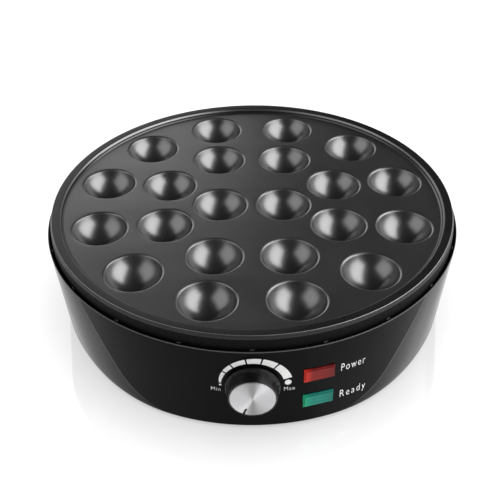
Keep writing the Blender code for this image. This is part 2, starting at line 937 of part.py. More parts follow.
def make_base_cover():
    """Vented disc under the flange, with a rim rib, a boss for the terminal block and holes."""
    rib_inner = cover_radius - cover_rib_width
    profile = [
        (0, cover_top),
        (cover_radius, cover_top),
        (cover_radius, cover_under - cover_rib_height),
        (rib_inner, cover_under - cover_rib_height),
        (rib_inner, cover_under),
        (0, cover_under),
    ]
    cover = turned("base_cover", profile, base_black, cover_segments)

    def fill_boss(work):
        root = cover_top - cover_thickness / 2
        add_rod(work, block_boss_radius, root, cover_top + block_boss_height, (block_x, block_y))

    def fill_holes(work):
        low = cover_under - overrun
        high = cover_top + overrun
        for angle in post_angles:
            add_rod(work, m4_radius + fit_gap, low, high, around(post_ring, angle), screw_segments)
        for angle in cover_screw_angles:
            screw = around(cover_screw_ring, angle)
            add_rod(work, m3_radius + fit_gap, low, high, screw, screw_segments)
        for angle in foot_angles:
            neck = around(foot_ring, angle)
            add_rod(work, foot_neck_radius + fit_gap, low, high, neck, foot_segments)
        for start, length, count in vent_rings:
            for index in range(count):
                angle = 2 * math.pi * (index + 0.5) / count
                size = (vent_width, length, high - low)
                place = around(start + length / 2, angle, (low + high) / 2)
                add_block(work, size, place, angle)
        boss_top = cover_top + block_boss_height
        blind = boss_top - block_screw_reach - fit_gap
        add_rod(work, m3_radius + fit_gap, blind, boss_top + overrun, (block_x, block_y), screw_segments)

    combine(cover, put_cutter("block_boss", mesh_of("block_boss", fill_boss)), "UNION")
    combine(cover, put_cutter("cover_holes", mesh_of("cover_holes", fill_holes)), "DIFFERENCE")


def make_feet():
    """Rubber feet pushed through the cover: pad, neck and barb."""
    pad_top = cover_under - fit_gap - floor_level
    barb_low = cover_top + fit_gap - floor_level
    profile = [
        (0, barb_low + foot_barb_height),
        (foot_barb_tip_radius, barb_low + foot_barb_height),
        (foot_barb_radius, barb_low),
        (foot_neck_radius, barb_low),
        (foot_neck_radius, pad_top),
        (foot_radius, pad_top),
        (foot_tip_radius, 0),
        (0, 0),
    ]
    for index, angle in enumerate(foot_angles, 1):
        place = around(foot_ring, angle, floor_level)
        turned("rubber_foot_" + str(index), profile, rubber, foot_segments, place)


def make_heat_shield():
    """Shallow sheet pan close under the cup shells, with holes for all that passes it."""
    rim = lip_inner_radius - shield_inset
    turn_in = rim - shield_rim_run
    rise = shield_top + shield_rim_rise
    profile = [
        (0, shield_top),
        (turn_in, shield_top),
        (rim - shield_thickness, rise),
        (rim, rise),
        (turn_in + shield_thickness, shield_under),
        (0, shield_under),
    ]
    shield = turned("heat_shield", profile, sheet, cover_segments)

    def fill_holes(work):
        low = shield_under - overrun
        high = shield_top + overrun
        hole = post_stud_radius + fit_gap
        for angle in post_angles + [math.pi]:
            add_rod(work, hole, low, high, around(post_ring, angle), screw_segments)
        for side in (-1, 1):
            add_rod(work, bush_radius + fit_gap, low, high, leg_place(side), boss_segments)
        capillary = (0, -bulb_length / 2 - capillary_run)
        add_rod(work, capillary_hole_radius, low, high, capillary, screw_segments)
        fuse_screw = (fuse_x, fuse_y + fuse_clip_reach)
        add_rod(work, m3_radius + fit_gap, low, high, fuse_screw, screw_segments)

    combine(shield, put_cutter("shield_holes", mesh_of("shield_holes", fill_holes)), "DIFFERENCE")


def make_posts():
    """Hexagonal spacers with a stud up into the plate and a bore for the screw from below."""
    top = shield_under - fit_gap
    bottom = cover_top + fit_gap
    corner = post_across / 2 / math.cos(math.pi / 6)
    for index, angle in enumerate(post_angles, 1):
        name = "plate_post_" + str(index)

        def fill_post(work):
            add_rod(work, corner, bottom, top, (0, 0), 6)

        def fill_stud(work):
            add_rod(work, post_stud_radius, top - sink, top + post_stud_length, (0, 0), screw_segments)

        def fill_bore(work):
            bore = m4_radius + fit_gap
            add_rod(work, bore, bottom - overrun, bottom + post_bore_depth, (0, 0), screw_segments)

        place = around(post_ring, angle)
        post = put(name, mesh_of(name, fill_post), steel, place)
        combine(post, put_cutter(name + "_stud", mesh_of(name + "_stud", fill_stud), place), "UNION")
        combine(post, put_cutter(name + "_bore", mesh_of(name + "_bore", fill_bore), place), "DIFFERENCE")


def make_screw(name, place, seat, reach, size, up=True):
    """Slotted screw. Its head lies against the seat height, its shank beyond."""
    radius, head_radius, head_height = size
    profile = [
        (0, reach),
        (radius, reach),
        (radius, 0),
        (head_radius, 0),
        (head_radius * head_crown_share, -head_height),
        (0, -head_height),
    ]
    turn = (0, 0, 0) if up else (math.pi, 0, 0)
    at = (place[0], place[1], seat)
    screw = turned(name, profile, steel, screw_segments, at, turn)

    def fill_slot(work):
        depth = head_height * slot_depth_share
        add_block(work, (3 * head_radius, slot_width, 2 * depth), (0, 0, -head_height))

    combine(screw, put_cutter(name + "_slot", mesh_of(name + "_slot", fill_slot), at, turn), "DIFFERENCE")
    return screw


m4 = (m4_radius, m4_head_radius, m4_head_height)
m3 = (m3_radius, m3_head_radius, m3_head_height)


def make_screws():
    """All screws, each seated one gap from the face it clamps."""
    for index, angle in enumerate(post_angles, 1):
        name = "plate_screw_" + str(index)
        make_screw(name, around(post_ring, angle), cover_under - fit_gap, plate_screw_reach, m4)
    for index, angle in enumerate(cover_screw_angles, 1):
        name = "cover_screw_" + str(index)
        reach = cover_thickness + fit_gap + cover_screw_reach
        make_screw(name, around(cover_screw_ring, angle), cover_under - fit_gap, reach, m3)
    for index, angle in enumerate(clip_angles, 1):
        name = "element_clip_screw_" + str(index)
        make_screw(name, around(post_ring, angle), clip_under - fit_gap, clip_screw_reach, m3)
    bulb_seat = bulb_clip_top - clip_thickness - fit_gap
    make_screw("bulb_clip_screw", (0, bulb_boss_y), bulb_seat, clip_screw_reach, m3)
    make_screw("earth_screw", around(post_ring, math.pi), shield_under - fit_gap, boss_hole_depth / 2, m4)
    fuse_seat = shield_under - fit_gap - fuse_clip_thickness - fit_gap
    make_screw("fuse_clip_screw", (fuse_x, fuse_y + fuse_clip_reach), fuse_seat, fuse_screw_reach, m3)
    block_top = cover_top + block_boss_height + fit_gap + block_height
    reach = block_height + fit_gap + block_screw_reach - fit_gap
    make_screw("terminal_screw", (block_x, block_y), block_top + fit_gap, reach, m3, up=False)


def leg_place(side):
    """Foot of one cold end of the element, at the rear."""
    half = element_leg_spread / 2
    return Vector((side * half, math.sqrt(element_ring ** 2 - half ** 2), 0))


def make_element():
    """Tubular element: nearly a full ring in the groove, both ends turned down at the rear."""
    gap = math.asin(element_leg_spread / 2 / element_ring)
    start = -math.pi + gap
    sweep = 2 * (math.pi - gap)
    ring = []
    for step in range(element_steps + 1):
        ring.append(around(element_ring, start + sweep * step / element_steps, element_level))
    down = Vector((0, 0, leg_bottom - element_level))
    first = rounded_path([ring[0] + down, ring[0], ring[1]], element_bend)
    last = rounded_path([ring[-2], ring[-1], ring[-1] + down], element_bend)
    tube("heating_element", first[:-1] + ring[1:-1] + last[1:], element_radius, sheath)


def make_bushes():
    """Ceramic bushes that carry the cold ends through the heat shield."""
    bore = element_radius + fit_gap
    top = bush_height / 2
    profile = [
        (bore, top),
        (bush_radius, top),
        (bush_radius, -bush_height / 2 + bush_flange_height),
        (bush_flange_radius, -bush_height / 2 + bush_flange_height),
        (bush_flange_radius, -bush_height / 2),
        (bore, -bush_height / 2),
    ]
    level = shield_under - fit_gap - bush_flange_height + bush_height / 2
    for index, side in enumerate((-1, 1), 1):
        place = leg_place(side)
        name = "element_bush_" + str(index)
        turned(name, profile, ceramic, boss_segments, (place[0], place[1], level), ring=True)


def clip_outline(inner, outer, half):
    """Strip with one square and one round end, along its own Y."""
    outline = [(-half, inner), (half, inner)]
    for step in range(boss_segments // 2 + 1):
        angle = math.pi * step / (boss_segments // 2)
        outline.append((half * math.cos(angle), outer + half * math.sin(angle)))
    return outline


def make_strap(name, place, angle, inner, outer, top):
    """Flat steel strap with a screw hole at its round end, pointing outwards at an angle."""
    outline = clip_outline(inner - outer, 0, clip_width / 2)
    level = top - clip_thickness / 2
    at = (place[0], place[1], level)
    turn = (0, 0, angle + math.pi)
    strap = flat_outline(name, outline, clip_thickness, steel, at, turn)

    def fill_hole(work):
        add_rod(work, m3_radius + fit_gap, -overrun, overrun, (0, 0), screw_segments)

    combine(strap, put_cutter(name + "_hole", mesh_of(name + "_hole", fill_hole), at, turn), "DIFFERENCE")


def make_clips():
    """Straps that press the element and the sensor bulb against the cup shells."""
    for index, angle in enumerate(clip_angles, 1):
        name = "element_clip_" + str(index)
        inner = element_ring - clip_overhang
        make_strap(name, around(post_ring, angle), angle, inner, post_ring, clip_top)
    place = Vector((0, bulb_boss_y, 0))
    lap = bulb_length / 2 - bulb_clip_lap
    make_strap("bulb_clip", place, math.pi, lap, bulb_boss_y, bulb_clip_top)


def make_sensor():
    """Sensor bulb between the centre domes and its capillary down to the thermostat."""
    half = bulb_length / 2
    tip = bulb_radius * bulb_tip_share
    profile = [
        (0, half),
        (tip, half),
        (bulb_radius, half - tip),
        (bulb_radius, tip - half),
        (tip, -half),
        (0, -half),
    ]
    turned("sensor_bulb", profile, copper, screw_segments, (0, 0, bulb_level), (math.pi / 2, 0, 0))
    lane = -half - capillary_run
    points = [
        (0, thermostat_back + fit_gap, knob_level),
        (0, lane, knob_level),
        (0, lane, bulb_level),
        (0, -half - fit_gap, bulb_level),
    ]
    path = rounded_path(points, capillary_bend)
    tube("capillary_tube", path, capillary_radius, copper, wire_sides)


def d_outline(radius, flat, segments):
    """Circle with one flat side, facing +Y."""
    reach = radius - flat
    limit = math.asin(reach / radius)
    sweep = math.pi + 2 * limit
    outline = []
    for step in range(segments + 1):
        angle = -math.pi - limit + sweep * step / segments
        outline.append((radius * math.cos(angle), radius * math.sin(angle)))
    return outline


def make_thermostat():
    """Thermostat body against the front wall, with its threaded stem through the wall."""
    def fill_body(work):
        size = (thermostat_width, thermostat_depth, thermostat_height)
        add_block(work, size, (0, 0, 0))

    def fill_stem(work):
        add_rod(work, stem_radius, -sink, thermostat_front - stem_end, (0, 0), gland_segments)

    def fill_bore(work):
        high = thermostat_front - stem_end + overrun
        add_rod(work, shaft_radius + fit_gap, -shaft_inner_reach - fit_gap, high, (0, 0), shaft_segments)

    centre = (0, (thermostat_front + thermostat_back) / 2, knob_level)
    body = put("thermostat_body", mesh_of("thermostat_block", fill_body), resin, centre)
    bevelled(body, thermostat_bevel, 1)
    face = (0, thermostat_front, knob_level)
    combine(body, put_cutter("stem", mesh_of("stem", fill_stem), face, facing(0)), "UNION")
    combine(body, put_cutter("stem_bore", mesh_of("stem_bore", fill_bore), face, facing(0)), "DIFFERENCE")
    corner = nut_across / 2 / math.cos(math.pi / 6)

    def fill_nut(work):
        add_rod(work, corner, 0, nut_thickness, (0, 0), 6)

    def fill_thread(work):
        add_rod(work, stem_radius + fit_gap, -overrun, nut_thickness + overrun, (0, 0), gland_segments)

    seat = (0, -(panel_at_knob + nut_gap), knob_level)
    nut = put("thermostat_nut", mesh_of("nut", fill_nut), steel, seat, facing(0))
    combine(nut, put_cutter("nut_bore", mesh_of("nut_bore", fill_thread), seat, facing(0)), "DIFFERENCE")


def make_knob():
    """Knob, its brushed cap with the pointer notch, and the flatted shaft that all turn together."""
    axis_point = (0, knob_base, knob_level)
    turn = facing(0)
    seat = knob_length - cap_seat_depth
    bore_end = seat - knob_bore_end
    seat_radius = cap_radius + fit_gap
    profile = [
        (0, seat),
        (seat_radius, seat),
        (seat_radius, knob_length),
        (knob_face_radius - knob_edge, knob_length),
        (knob_face_radius, knob_length - knob_edge),
        (knob_shoulder_radius, knob_skirt),
        (knob_base_radius, knob_skirt - knob_edge),
        (knob_base_radius, 0),
        (knob_cavity_radius, 0),
        (knob_cavity_radius, knob_cavity_depth),
        (0, knob_cavity_depth),
    ]
    knob = turned("control_knob", profile, knob_black, knob_segments, axis_point, turn)
    bore_length = bore_end - knob_cavity_depth + sink
    bore_at = (0, knob_base - (knob_cavity_depth - sink) - bore_length / 2, knob_level)
    bore_shape = d_outline(shaft_radius + fit_gap, shaft_flat, shaft_segments)
    bore = flat_outline("knob_bore", bore_shape, bore_length, knob_black, bore_at, turn)
    parts.objects.unlink(bore)
    cutters.objects.link(bore)
    bore.hide_render = True
    bore.display_type = "WIRE"
    combine(knob, bore, "DIFFERENCE")

    cap_back = seat + fit_gap
    cap_front = cap_back + cap_thickness
    cap_profile = [
        (0, cap_front),
        (cap_radius - cap_chamfer, cap_front),
        (cap_radius, cap_front - cap_chamfer),
        (cap_radius, cap_back),
        (0, cap_back),
    ]
    cap = turned("knob_cap", cap_profile, brushed, knob_segments, axis_point, turn)

    def fill_notch(work):
        length = cap_radius + overrun - pointer_start
        reach = pointer_start + length / 2
        across = math.sin(pointer_angle) * reach
        along = math.cos(pointer_angle) * reach
        middle = (cap_back + cap_front) / 2
        size = (pointer_width, length, cap_thickness + 2 * overrun)
        add_block(work, size, (across, along, middle), -pointer_angle)

    combine(cap, put_cutter("pointer_notch", mesh_of("notch", fill_notch), axis_point, turn), "DIFFERENCE")

    inner = -shaft_inner_reach - (thermostat_front - knob_base)
    full_end = knob_cavity_depth - sink
    flat_end = bore_end - fit_gap

    def fill_round(work):
        add_rod(work, shaft_radius, inner, full_end, (0, 0), shaft_segments)

    shaft = put("thermostat_shaft", mesh_of("shaft", fill_round), steel, axis_point, turn)
    flat_length = flat_end - full_end + sink
    flat_at = (0, knob_base - (full_end - sink) - flat_length / 2, knob_level)
    flat_shape = d_outline(shaft_radius - sink / 16, shaft_flat, shaft_segments)
    flat_part = flat_outline("shaft_flat", flat_shape, flat_length, steel, flat_at, turn)
    parts.objects.unlink(flat_part)
    cutters.objects.link(flat_part)
    flat_part.hide_render = True
    flat_part.display_type = "WIRE"
    combine(shaft, flat_part, "UNION")


def make_gland():
    """Bushing in the rear wall that the supply cord would pass."""
    outer_end = fit_gap + gland_stand
    inner_end = -wall - gland_inner_reach
    collar = fit_gap + gland_collar_thickness
    profile = [
        (gland_bore_radius, outer_end),
        (gland_neck_radius, outer_end),
        (gland_neck_radius, collar),
        (gland_collar_radius, collar),
        (gland_collar_radius, fit_gap),
        (gland_neck_radius, fit_gap),
        (gland_neck_radius, inner_end),
        (gland_bore_radius, inner_end),
    ]
    place = around(panel_at_gland, math.pi, gland_level)
    turned("cord_gland", profile, knob_black, gland_segments, place, facing(math.pi), ring=True)


def make_terminal_block():
    """Three-way terminal block on its boss, with a screw well above each way."""
    bottom = cover_top + block_boss_height + fit_gap
    centre = (block_x, block_y, bottom + block_height / 2)

    def fill_body(work):
        add_block(work, (block_width, block_depth, block_height), (0, 0, 0))

    def fill_wells(work):
        top = block_height / 2
        for way in (-1, 1):
            place = (way * block_port_pitch, 0)
            add_rod(work, block_port_radius, top - block_port_depth, top + overrun, place, screw_segments)
        add_rod(work, m3_radius + fit_gap, -top - overrun, top + overrun, (0, 0), screw_segments)

    block = put("terminal_block", mesh_of("block", fill_body), resin, centre)
    bevelled(block, block_bevel, 1)
    combine(block, put_cutter("block_wells", mesh_of("wells", fill_wells), centre), "DIFFERENCE")


def fuse_level():
    return shield_under - fit_gap - fuse_radius


def make_fuse():
    """Thermal fuse against the heat shield, held by a stepped strap."""
    half = fuse_length / 2
    tip = fuse_radius * fuse_tip_share
    profile = [
        (0, half),
        (tip, half),
        (fuse_radius, half - tip),
        (fuse_radius, -half),
        (0, -half),
    ]
    place = (fuse_x, fuse_y, fuse_level())
    turned("thermal_fuse", profile, steel, screw_segments, place, (0, math.pi / 2, 0))
    high = shield_under - fit_gap
    low = fuse_level() - fuse_radius - fit_gap
    near = fuse_radius + fit_gap
    far = fuse_clip_reach + fuse_clip_lap
    outline = [
        (-fuse_radius, low),
        (near, low),
        (fuse_clip_step, high),
        (far, high),
        (far, high - fuse_clip_thickness),
        (fuse_clip_step + fuse_clip_thickness, high - fuse_clip_thickness),
        (near + fuse_clip_thickness, low - fuse_clip_thickness),
        (-fuse_radius, low - fuse_clip_thickness),
    ]
    at = (fuse_x, fuse_y, 0)
    turn = (math.pi / 2, 0, math.pi / 2)
    strap = flat_outline("fuse_clip", outline, fuse_clip_width, steel, at, turn)

    def fill_hole(work):
        add_rod(work, m3_radius + fit_gap, high - overrun, high + overrun, (0, 0), screw_segments)

    hole_at = (fuse_x, fuse_y + fuse_clip_reach, 0)
    combine(strap, put_cutter("fuse_clip_hole", mesh_of("fuse_hole", fill_hole), hole_at), "DIFFERENCE")


def wire(name, points, material):
    tube(name, rounded_path(points, wire_bend), wire_radius, material, wire_sides)


def make_wires():
    """Internal wiring, each wire on its own lane so that none crosses another."""
    block_front = block_y - block_depth / 2 - fit_gap
    block_right = block_x + block_width / 2 + fit_gap
    block_level = cover_top + block_boss_height + fit_gap + block_wire_height
    terminal_level = knob_level - thermostat_height / 4
    back = thermostat_back + fit_gap
    turn_y = back + wire_run_in
    lane = wire_lane
    live_x = block_x - block_port_pitch
    neutral_x = block_x
    left_leg = leg_place(-1)
    right_leg = leg_place(1)
    leg_end = leg_bottom - fit_gap
    wire("live_wire", [
        (live_x, block_front, block_level),
        (live_x, turn_y, block_level),
        (-lane, turn_y, block_level),
        (-lane, turn_y, terminal_level),
        (-lane, back, terminal_level),
    ], silicone_brown)
    load_x = fuse_x - fuse_length / 2 - fit_gap
    load_turn = load_x - wire_run_in
    fuse_height = fuse_level()
    wire("load_wire", [
        (lane, back, terminal_level),
        (lane, turn_y, terminal_level),
        (lane, turn_y, block_level),
        (load_turn, turn_y + lane, block_level),
        (load_turn, fuse_y, block_level),
        (load_turn, fuse_y, fuse_height),
        (load_x, fuse_y, fuse_height),
    ], silicone_brown)
    fuse_end = fuse_x + fuse_length / 2 + fit_gap
    fuse_turn = fuse_end + lane
    wire("fuse_wire", [
        (fuse_end, fuse_y, fuse_height),
        (fuse_turn, fuse_y, fuse_height),
        (fuse_turn, fuse_y, leg_end - lane),
        (right_leg[0], right_leg[1], leg_end - lane),
        (right_leg[0], right_leg[1], leg_end),
    ], silicone_white)
    wire("neutral_wire", [
        (neutral_x, block_front, block_level),
        (neutral_x, block_front - lane, block_level),
        (neutral_x, block_front - lane, leg_end - lane),
        (left_leg[0], left_leg[1], leg_end - lane),
        (left_leg[0], left_leg[1], leg_end),
    ], silicone_blue)
    earth_end = shield_under - fit_gap - m4_head_height - fit_gap
    wire("earth_wire", [
        (block_right, block_y, block_level),
        (0, block_y, block_level),
        (0, post_ring, block_level),
        (0, post_ring, earth_end),
    ], silicone_green)
    side = thermostat_width / 2 + fit_gap
    for name, height in lens_table():
        lamp = around(lamp_radius_place(height), lens_angle, height)
        along = Vector((math.cos(lens_angle), math.sin(lens_angle), 0))
        start = lamp - along * (lamp_length / 2 + fit_gap)
        out = start - along * lane / 2
        entry_height = min(max(height, knob_level - thermostat_height / 4), knob_level + thermostat_height / 4)
        entry = Vector((side, (thermostat_front + thermostat_back) / 2, entry_height))
        wire(name + "_lamp_wire", [start, out, entry + Vector((lane / 2, 0, 0)), entry], silicone_white)


make_hot_plate()
make_housing()
make_base_cover()
make_feet()
make_heat_shield()
make_posts()
make_element()
make_bushes()
make_clips()
make_sensor()
make_thermostat()
make_knob()
make_lenses()
make_lamps()
make_gland()
make_terminal_block()
make_fuse()
make_screws()
make_wires()
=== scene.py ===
"""Looks for the cake pop maker: finer plate, housing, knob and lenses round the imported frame,
the printed scale and wording, materials, a pale studio and the photograph's camera."""

import json
import math

import bmesh
import bpy
from mathutils import Matrix, Vector


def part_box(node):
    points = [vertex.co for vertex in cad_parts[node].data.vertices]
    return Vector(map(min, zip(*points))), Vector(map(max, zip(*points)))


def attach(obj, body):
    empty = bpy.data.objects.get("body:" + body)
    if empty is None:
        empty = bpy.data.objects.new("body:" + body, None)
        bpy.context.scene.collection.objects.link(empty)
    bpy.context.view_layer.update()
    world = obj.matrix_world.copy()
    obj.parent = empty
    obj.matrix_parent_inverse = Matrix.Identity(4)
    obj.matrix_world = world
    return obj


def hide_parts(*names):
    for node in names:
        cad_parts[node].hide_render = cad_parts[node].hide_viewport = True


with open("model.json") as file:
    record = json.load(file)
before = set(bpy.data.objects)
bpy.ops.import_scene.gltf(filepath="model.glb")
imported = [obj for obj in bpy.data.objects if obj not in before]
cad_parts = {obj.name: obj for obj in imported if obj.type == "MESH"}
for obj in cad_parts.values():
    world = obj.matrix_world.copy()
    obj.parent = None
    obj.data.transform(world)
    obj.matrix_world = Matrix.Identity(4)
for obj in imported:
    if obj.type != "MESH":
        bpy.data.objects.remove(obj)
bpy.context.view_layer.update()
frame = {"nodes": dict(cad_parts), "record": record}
nodes = frame["nodes"]

# Sizes repeated from the part's source, in metres
cup_radius = 0.0189
cup_depth = 0.0145
lip_radius = 0.0201
cup_web = 0.0046
cup_wall = 0.0023
outer_count = 12
inner_count = 8
centre_count = 2
plate_thickness = 0.0032
rim_margin = 0.0038
rim_rise_run = 0.0017
rim_ledge_run = 0.0017
rim_wall_run = 0.0015
rim_step = 0.0028
rim_width = 0.0038
rim_crown = 0.0002
rim_round = 0.0003
skirt_flare = 0.0004
skirt_depth = 0.0095
skirt_thickness = 0.0020
rim_thickness = 0.0026
plate_gap = 0.0007
lip_drop = 0.0070
edge_round = 0.0008
wall = 0.0024
panel_taper = 0.0009
side_scoop = 0.0054
crease_top_angle = math.radians(50.6)
crease_lean = math.radians(30.3)
crease_corner_radius = 0.0450
scoop_top_angle = math.radians(82.0)
scoop_bottom_angle = math.radians(62.0)
scoop_edge_share = 0.55
lug_count = 20
lug_width = 0.0030
lug_stand = 0.0006
lug_depth = 0.0045
base_recess = 0.0042
flange_thickness = 0.0022
flange_reach = 0.0230
post_offset = 0.0040
post_boss_radius = 0.0045
boss_hole_radius = 0.0023
boss_hole_depth = 0.0100
lens_angle = math.radians(16.5)
lens_width = 0.0198
lens_height = 0.0100
lens_stand = 0.0015
lens_depth = 0.0060
knob_edge = 0.0006
knob_cavity_radius = 0.0100
knob_cavity_depth = 0.0044
cap_chamfer = 0.0004
pointer_start = 0.0090
pointer_width = 0.0017
pointer_angle = math.radians(-156.0)

# Sizes of the scene's own finer forms
boss_stand = 0.0005
boss_degrees = (30, 150, 180, 210, 330)
lip_chamfer = 0.0004
lug_clear = 0.0003
lug_sink = 0.0002
lug_bevel = 0.0003
lens_bevel = 0.0009
lens_front_margin = 0.0001
window_clear = 0.0005
stem_hole_radius = 0.0048
gland_hole_radius = 0.0063
cutter_depth = 0.03
cap_clear = 0.0003
knob_taper = 0.0020
knob_front_round = 0.0008
knob_foot_height = 0.0010
knob_shoulder_height = 0.0017
notch_overrun = 0.002
notch_depth = 0.006

# Places read from the frame
plate_low, plate_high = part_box("hot_plate")
housing_low, housing_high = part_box("housing")
knob_low, knob_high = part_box("control_knob")
cap_low, cap_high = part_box("knob_cap")
shield_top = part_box("heat_shield")[1].z
axis_y = (plate_low.y + plate_high.y) / 2
plate_top = plate_high.z - rim_step - rim_crown
knob_z = (knob_low.z + knob_high.z) / 2

# Fineness of the meshes
weld_distance = 0.000002
round_steps = 192
cup_steps = 64
band_steps = 4
fillet_steps = 5
bowl_steps = 14
dome_steps = 24
dome_rows = 8
boss_steps = 16
panel_columns = 24
scoop_columns = 20
side_columns = 6
wall_rows = 26
edge_rows = 4
hole_steps = 32
knob_steps = 128
dot_steps = 24


def ring_beyond(inner, angle, spacing):
    """Radius of a ring whose cups lie one spacing from the cups of the ring inside it."""
    return inner * math.cos(angle) + math.sqrt(spacing ** 2 - (inner * math.sin(angle)) ** 2)


# Angle between a cup of the inner ring and the nearest of the outer: half a step less half a step
ring_turn = math.pi / 24
cup_spacing = 2 * lip_radius + cup_web
centre_ring = cup_spacing / 2
inner_ring = ring_beyond(centre_ring, math.pi / inner_count, cup_spacing)
outer_ring = ring_beyond(inner_ring, ring_turn, cup_spacing)
rim_foot = outer_ring + lip_radius + rim_margin
rim_ledge = rim_foot + rim_rise_run
rim_ledge_end = rim_ledge + rim_ledge_run
rim_crest = rim_ledge_end + rim_wall_run
rim_edge = rim_crest + rim_width
skirt_top_radius = rim_edge + rim_round
skirt_radius = skirt_top_radius + skirt_flare
lip_inner_radius = skirt_radius + plate_gap
housing_radius = housing_high.x
housing_top = -lip_drop
housing_bottom = housing_low.z - plate_top
bowl_radius = (cup_radius ** 2 + cup_depth ** 2) / (2 * cup_depth)
bowl_rise = bowl_radius - cup_depth
dome_radius = bowl_radius + cup_wall


def around(radius, angle, height=0.0):
    """A point of the appliance at an angle from the front, its height above the plate."""
    return Vector((radius * math.sin(angle), axis_y - radius * math.cos(angle), plate_top + height))


def put_object(name, data):
    """A new object in the scene."""
    made = bpy.data.objects.new(name, data)
    bpy.context.scene.collection.objects.link(made)
    return made


# Shader helpers


def material(name, colour, roughness, metallic=0.0):
    """A new material, its node tree and its Principled shader."""
    made = bpy.data.materials.new(name)
    made.use_nodes = True
    tree = made.node_tree
    shader = tree.nodes["Principled BSDF"]
    shader.inputs["Base Color"].default_value = (*colour, 1.0)
    shader.inputs["Roughness"].default_value = roughness
    shader.inputs["Metallic"].default_value = metallic
    return made, tree, shader


def place_node(tree):
    """Object coordinates in metres."""
    return tree.nodes.new("ShaderNodeTexCoord").outputs["Object"]


def noise(tree, scale, detail=4.0, rough=0.55, stretch=(1, 1, 1)):
    """Noise with lumps about 1/scale metres across."""
    texture = tree.nodes.new("ShaderNodeTexNoise")
    texture.inputs["Scale"].default_value = scale
    texture.inputs["Detail"].default_value = detail
    texture.inputs["Roughness"].default_value = rough
    mapping = tree.nodes.new("ShaderNodeMapping")
    mapping.inputs["Scale"].default_value = stretch
    tree.links.new(place_node(tree), mapping.inputs["Vector"])
    tree.links.new(mapping.outputs["Vector"], texture.inputs["Vector"])
    return texture.outputs["Fac"]


def ramp(tree, source, low, high, start=0.3, end=0.7):
    """Values from low to high as the source goes from start to end."""
    scaled = tree.nodes.new("ShaderNodeMapRange")
    scaled.inputs["From Min"].default_value = start
    scaled.inputs["From Max"].default_value = end
    scaled.inputs["To Min"].default_value = low
    scaled.inputs["To Max"].default_value = high
    tree.links.new(source, scaled.inputs["Value"])
    return scaled.outputs["Result"]


def colour_mix(tree, source, first, second, start=0.3, end=0.7):
    """Colours from first to second as the source goes from start to end."""
    mixed = tree.nodes.new("ShaderNodeValToRGB")
    mixed.color_ramp.elements[0].position = start
    mixed.color_ramp.elements[0].color = (*first, 1.0)
    mixed.color_ramp.elements[1].position = end
    mixed.color_ramp.elements[1].color = (*second, 1.0)
    tree.links.new(source, mixed.inputs["Fac"])
    return mixed.outputs["Color"]


def bump(tree, shader, source, depth, strength=1.0):
    """Relief of that depth in metres."""
    relief = tree.nodes.new("ShaderNodeBump")
    relief.inputs["Distance"].default_value = depth
    relief.inputs["Strength"].default_value = strength
    tree.links.new(source, relief.inputs["Height"])
    tree.links.new(relief.outputs["Normal"], shader.inputs["Normal"])


def coated_metal(name, level, smooth, rough):
    """Satin non-stick coating with a strong gleam: fine grain and faint cloudiness."""
    made, tree, shader = material(name, (0.006, 0.006, 0.0063), smooth)
    cloud = noise(tree, 28.0, 3.0)
    grain = noise(tree, 2600.0, 2.0)
    shade = colour_mix(tree, cloud, (0.005, 0.005, 0.0052), (0.008, 0.008, 0.0083))
    tree.links.new(shade, shader.inputs["Base Color"])
    tree.links.new(ramp(tree, cloud, smooth, rough), shader.inputs["Roughness"])
    bump(tree, shader, grain, 0.00001, 0.4)
    shader.inputs["IOR"].default_value = 2.0
    shader.inputs["Specular IOR Level"].default_value = level
    return made


def cast_metal(name, level):
    """Outside of the casting: black, with the coarse grain of its mould."""
    made, tree, shader = material(name, (0.005, 0.005, 0.005), 0.55)
    coarse = noise(tree, 650.0, 3.0, 0.6, (1, 1, 1.6))
    tree.links.new(ramp(tree, coarse, 0.40, 0.60), shader.inputs["Roughness"])
    bump(tree, shader, coarse, 0.0006, 1.0)
    shader.inputs["Specular IOR Level"].default_value = level
    return made


def gloss_plastic(name, level):
    """Polished black moulding with a trace of orange peel and handling haze."""
    made, tree, shader = material(name, (0.0028, 0.0028, 0.0030), 0.16)
    haze = noise(tree, 40.0, 5.0)
    peel = noise(tree, 420.0, 1.0)
    tree.links.new(ramp(tree, haze, 0.13, 0.20), shader.inputs["Roughness"])
    bump(tree, shader, peel, 0.00001, 0.35)
    shader.inputs["Specular IOR Level"].default_value = level
    return made


def satin_plastic(name, colour, roughness):
    """Moulded plastic with a fine spark-eroded grain."""
    made, tree, shader = material(name, colour, roughness)
    grain = noise(tree, 1800.0, 2.0)
    cloud = noise(tree, 60.0, 3.0)
    tree.links.new(ramp(tree, cloud, roughness - 0.05, roughness + 0.05), shader.inputs["Roughness"])
    bump(tree, shader, grain, 0.00004, 0.5)
    shader.inputs["Specular IOR Level"].default_value = 0.3
    return made


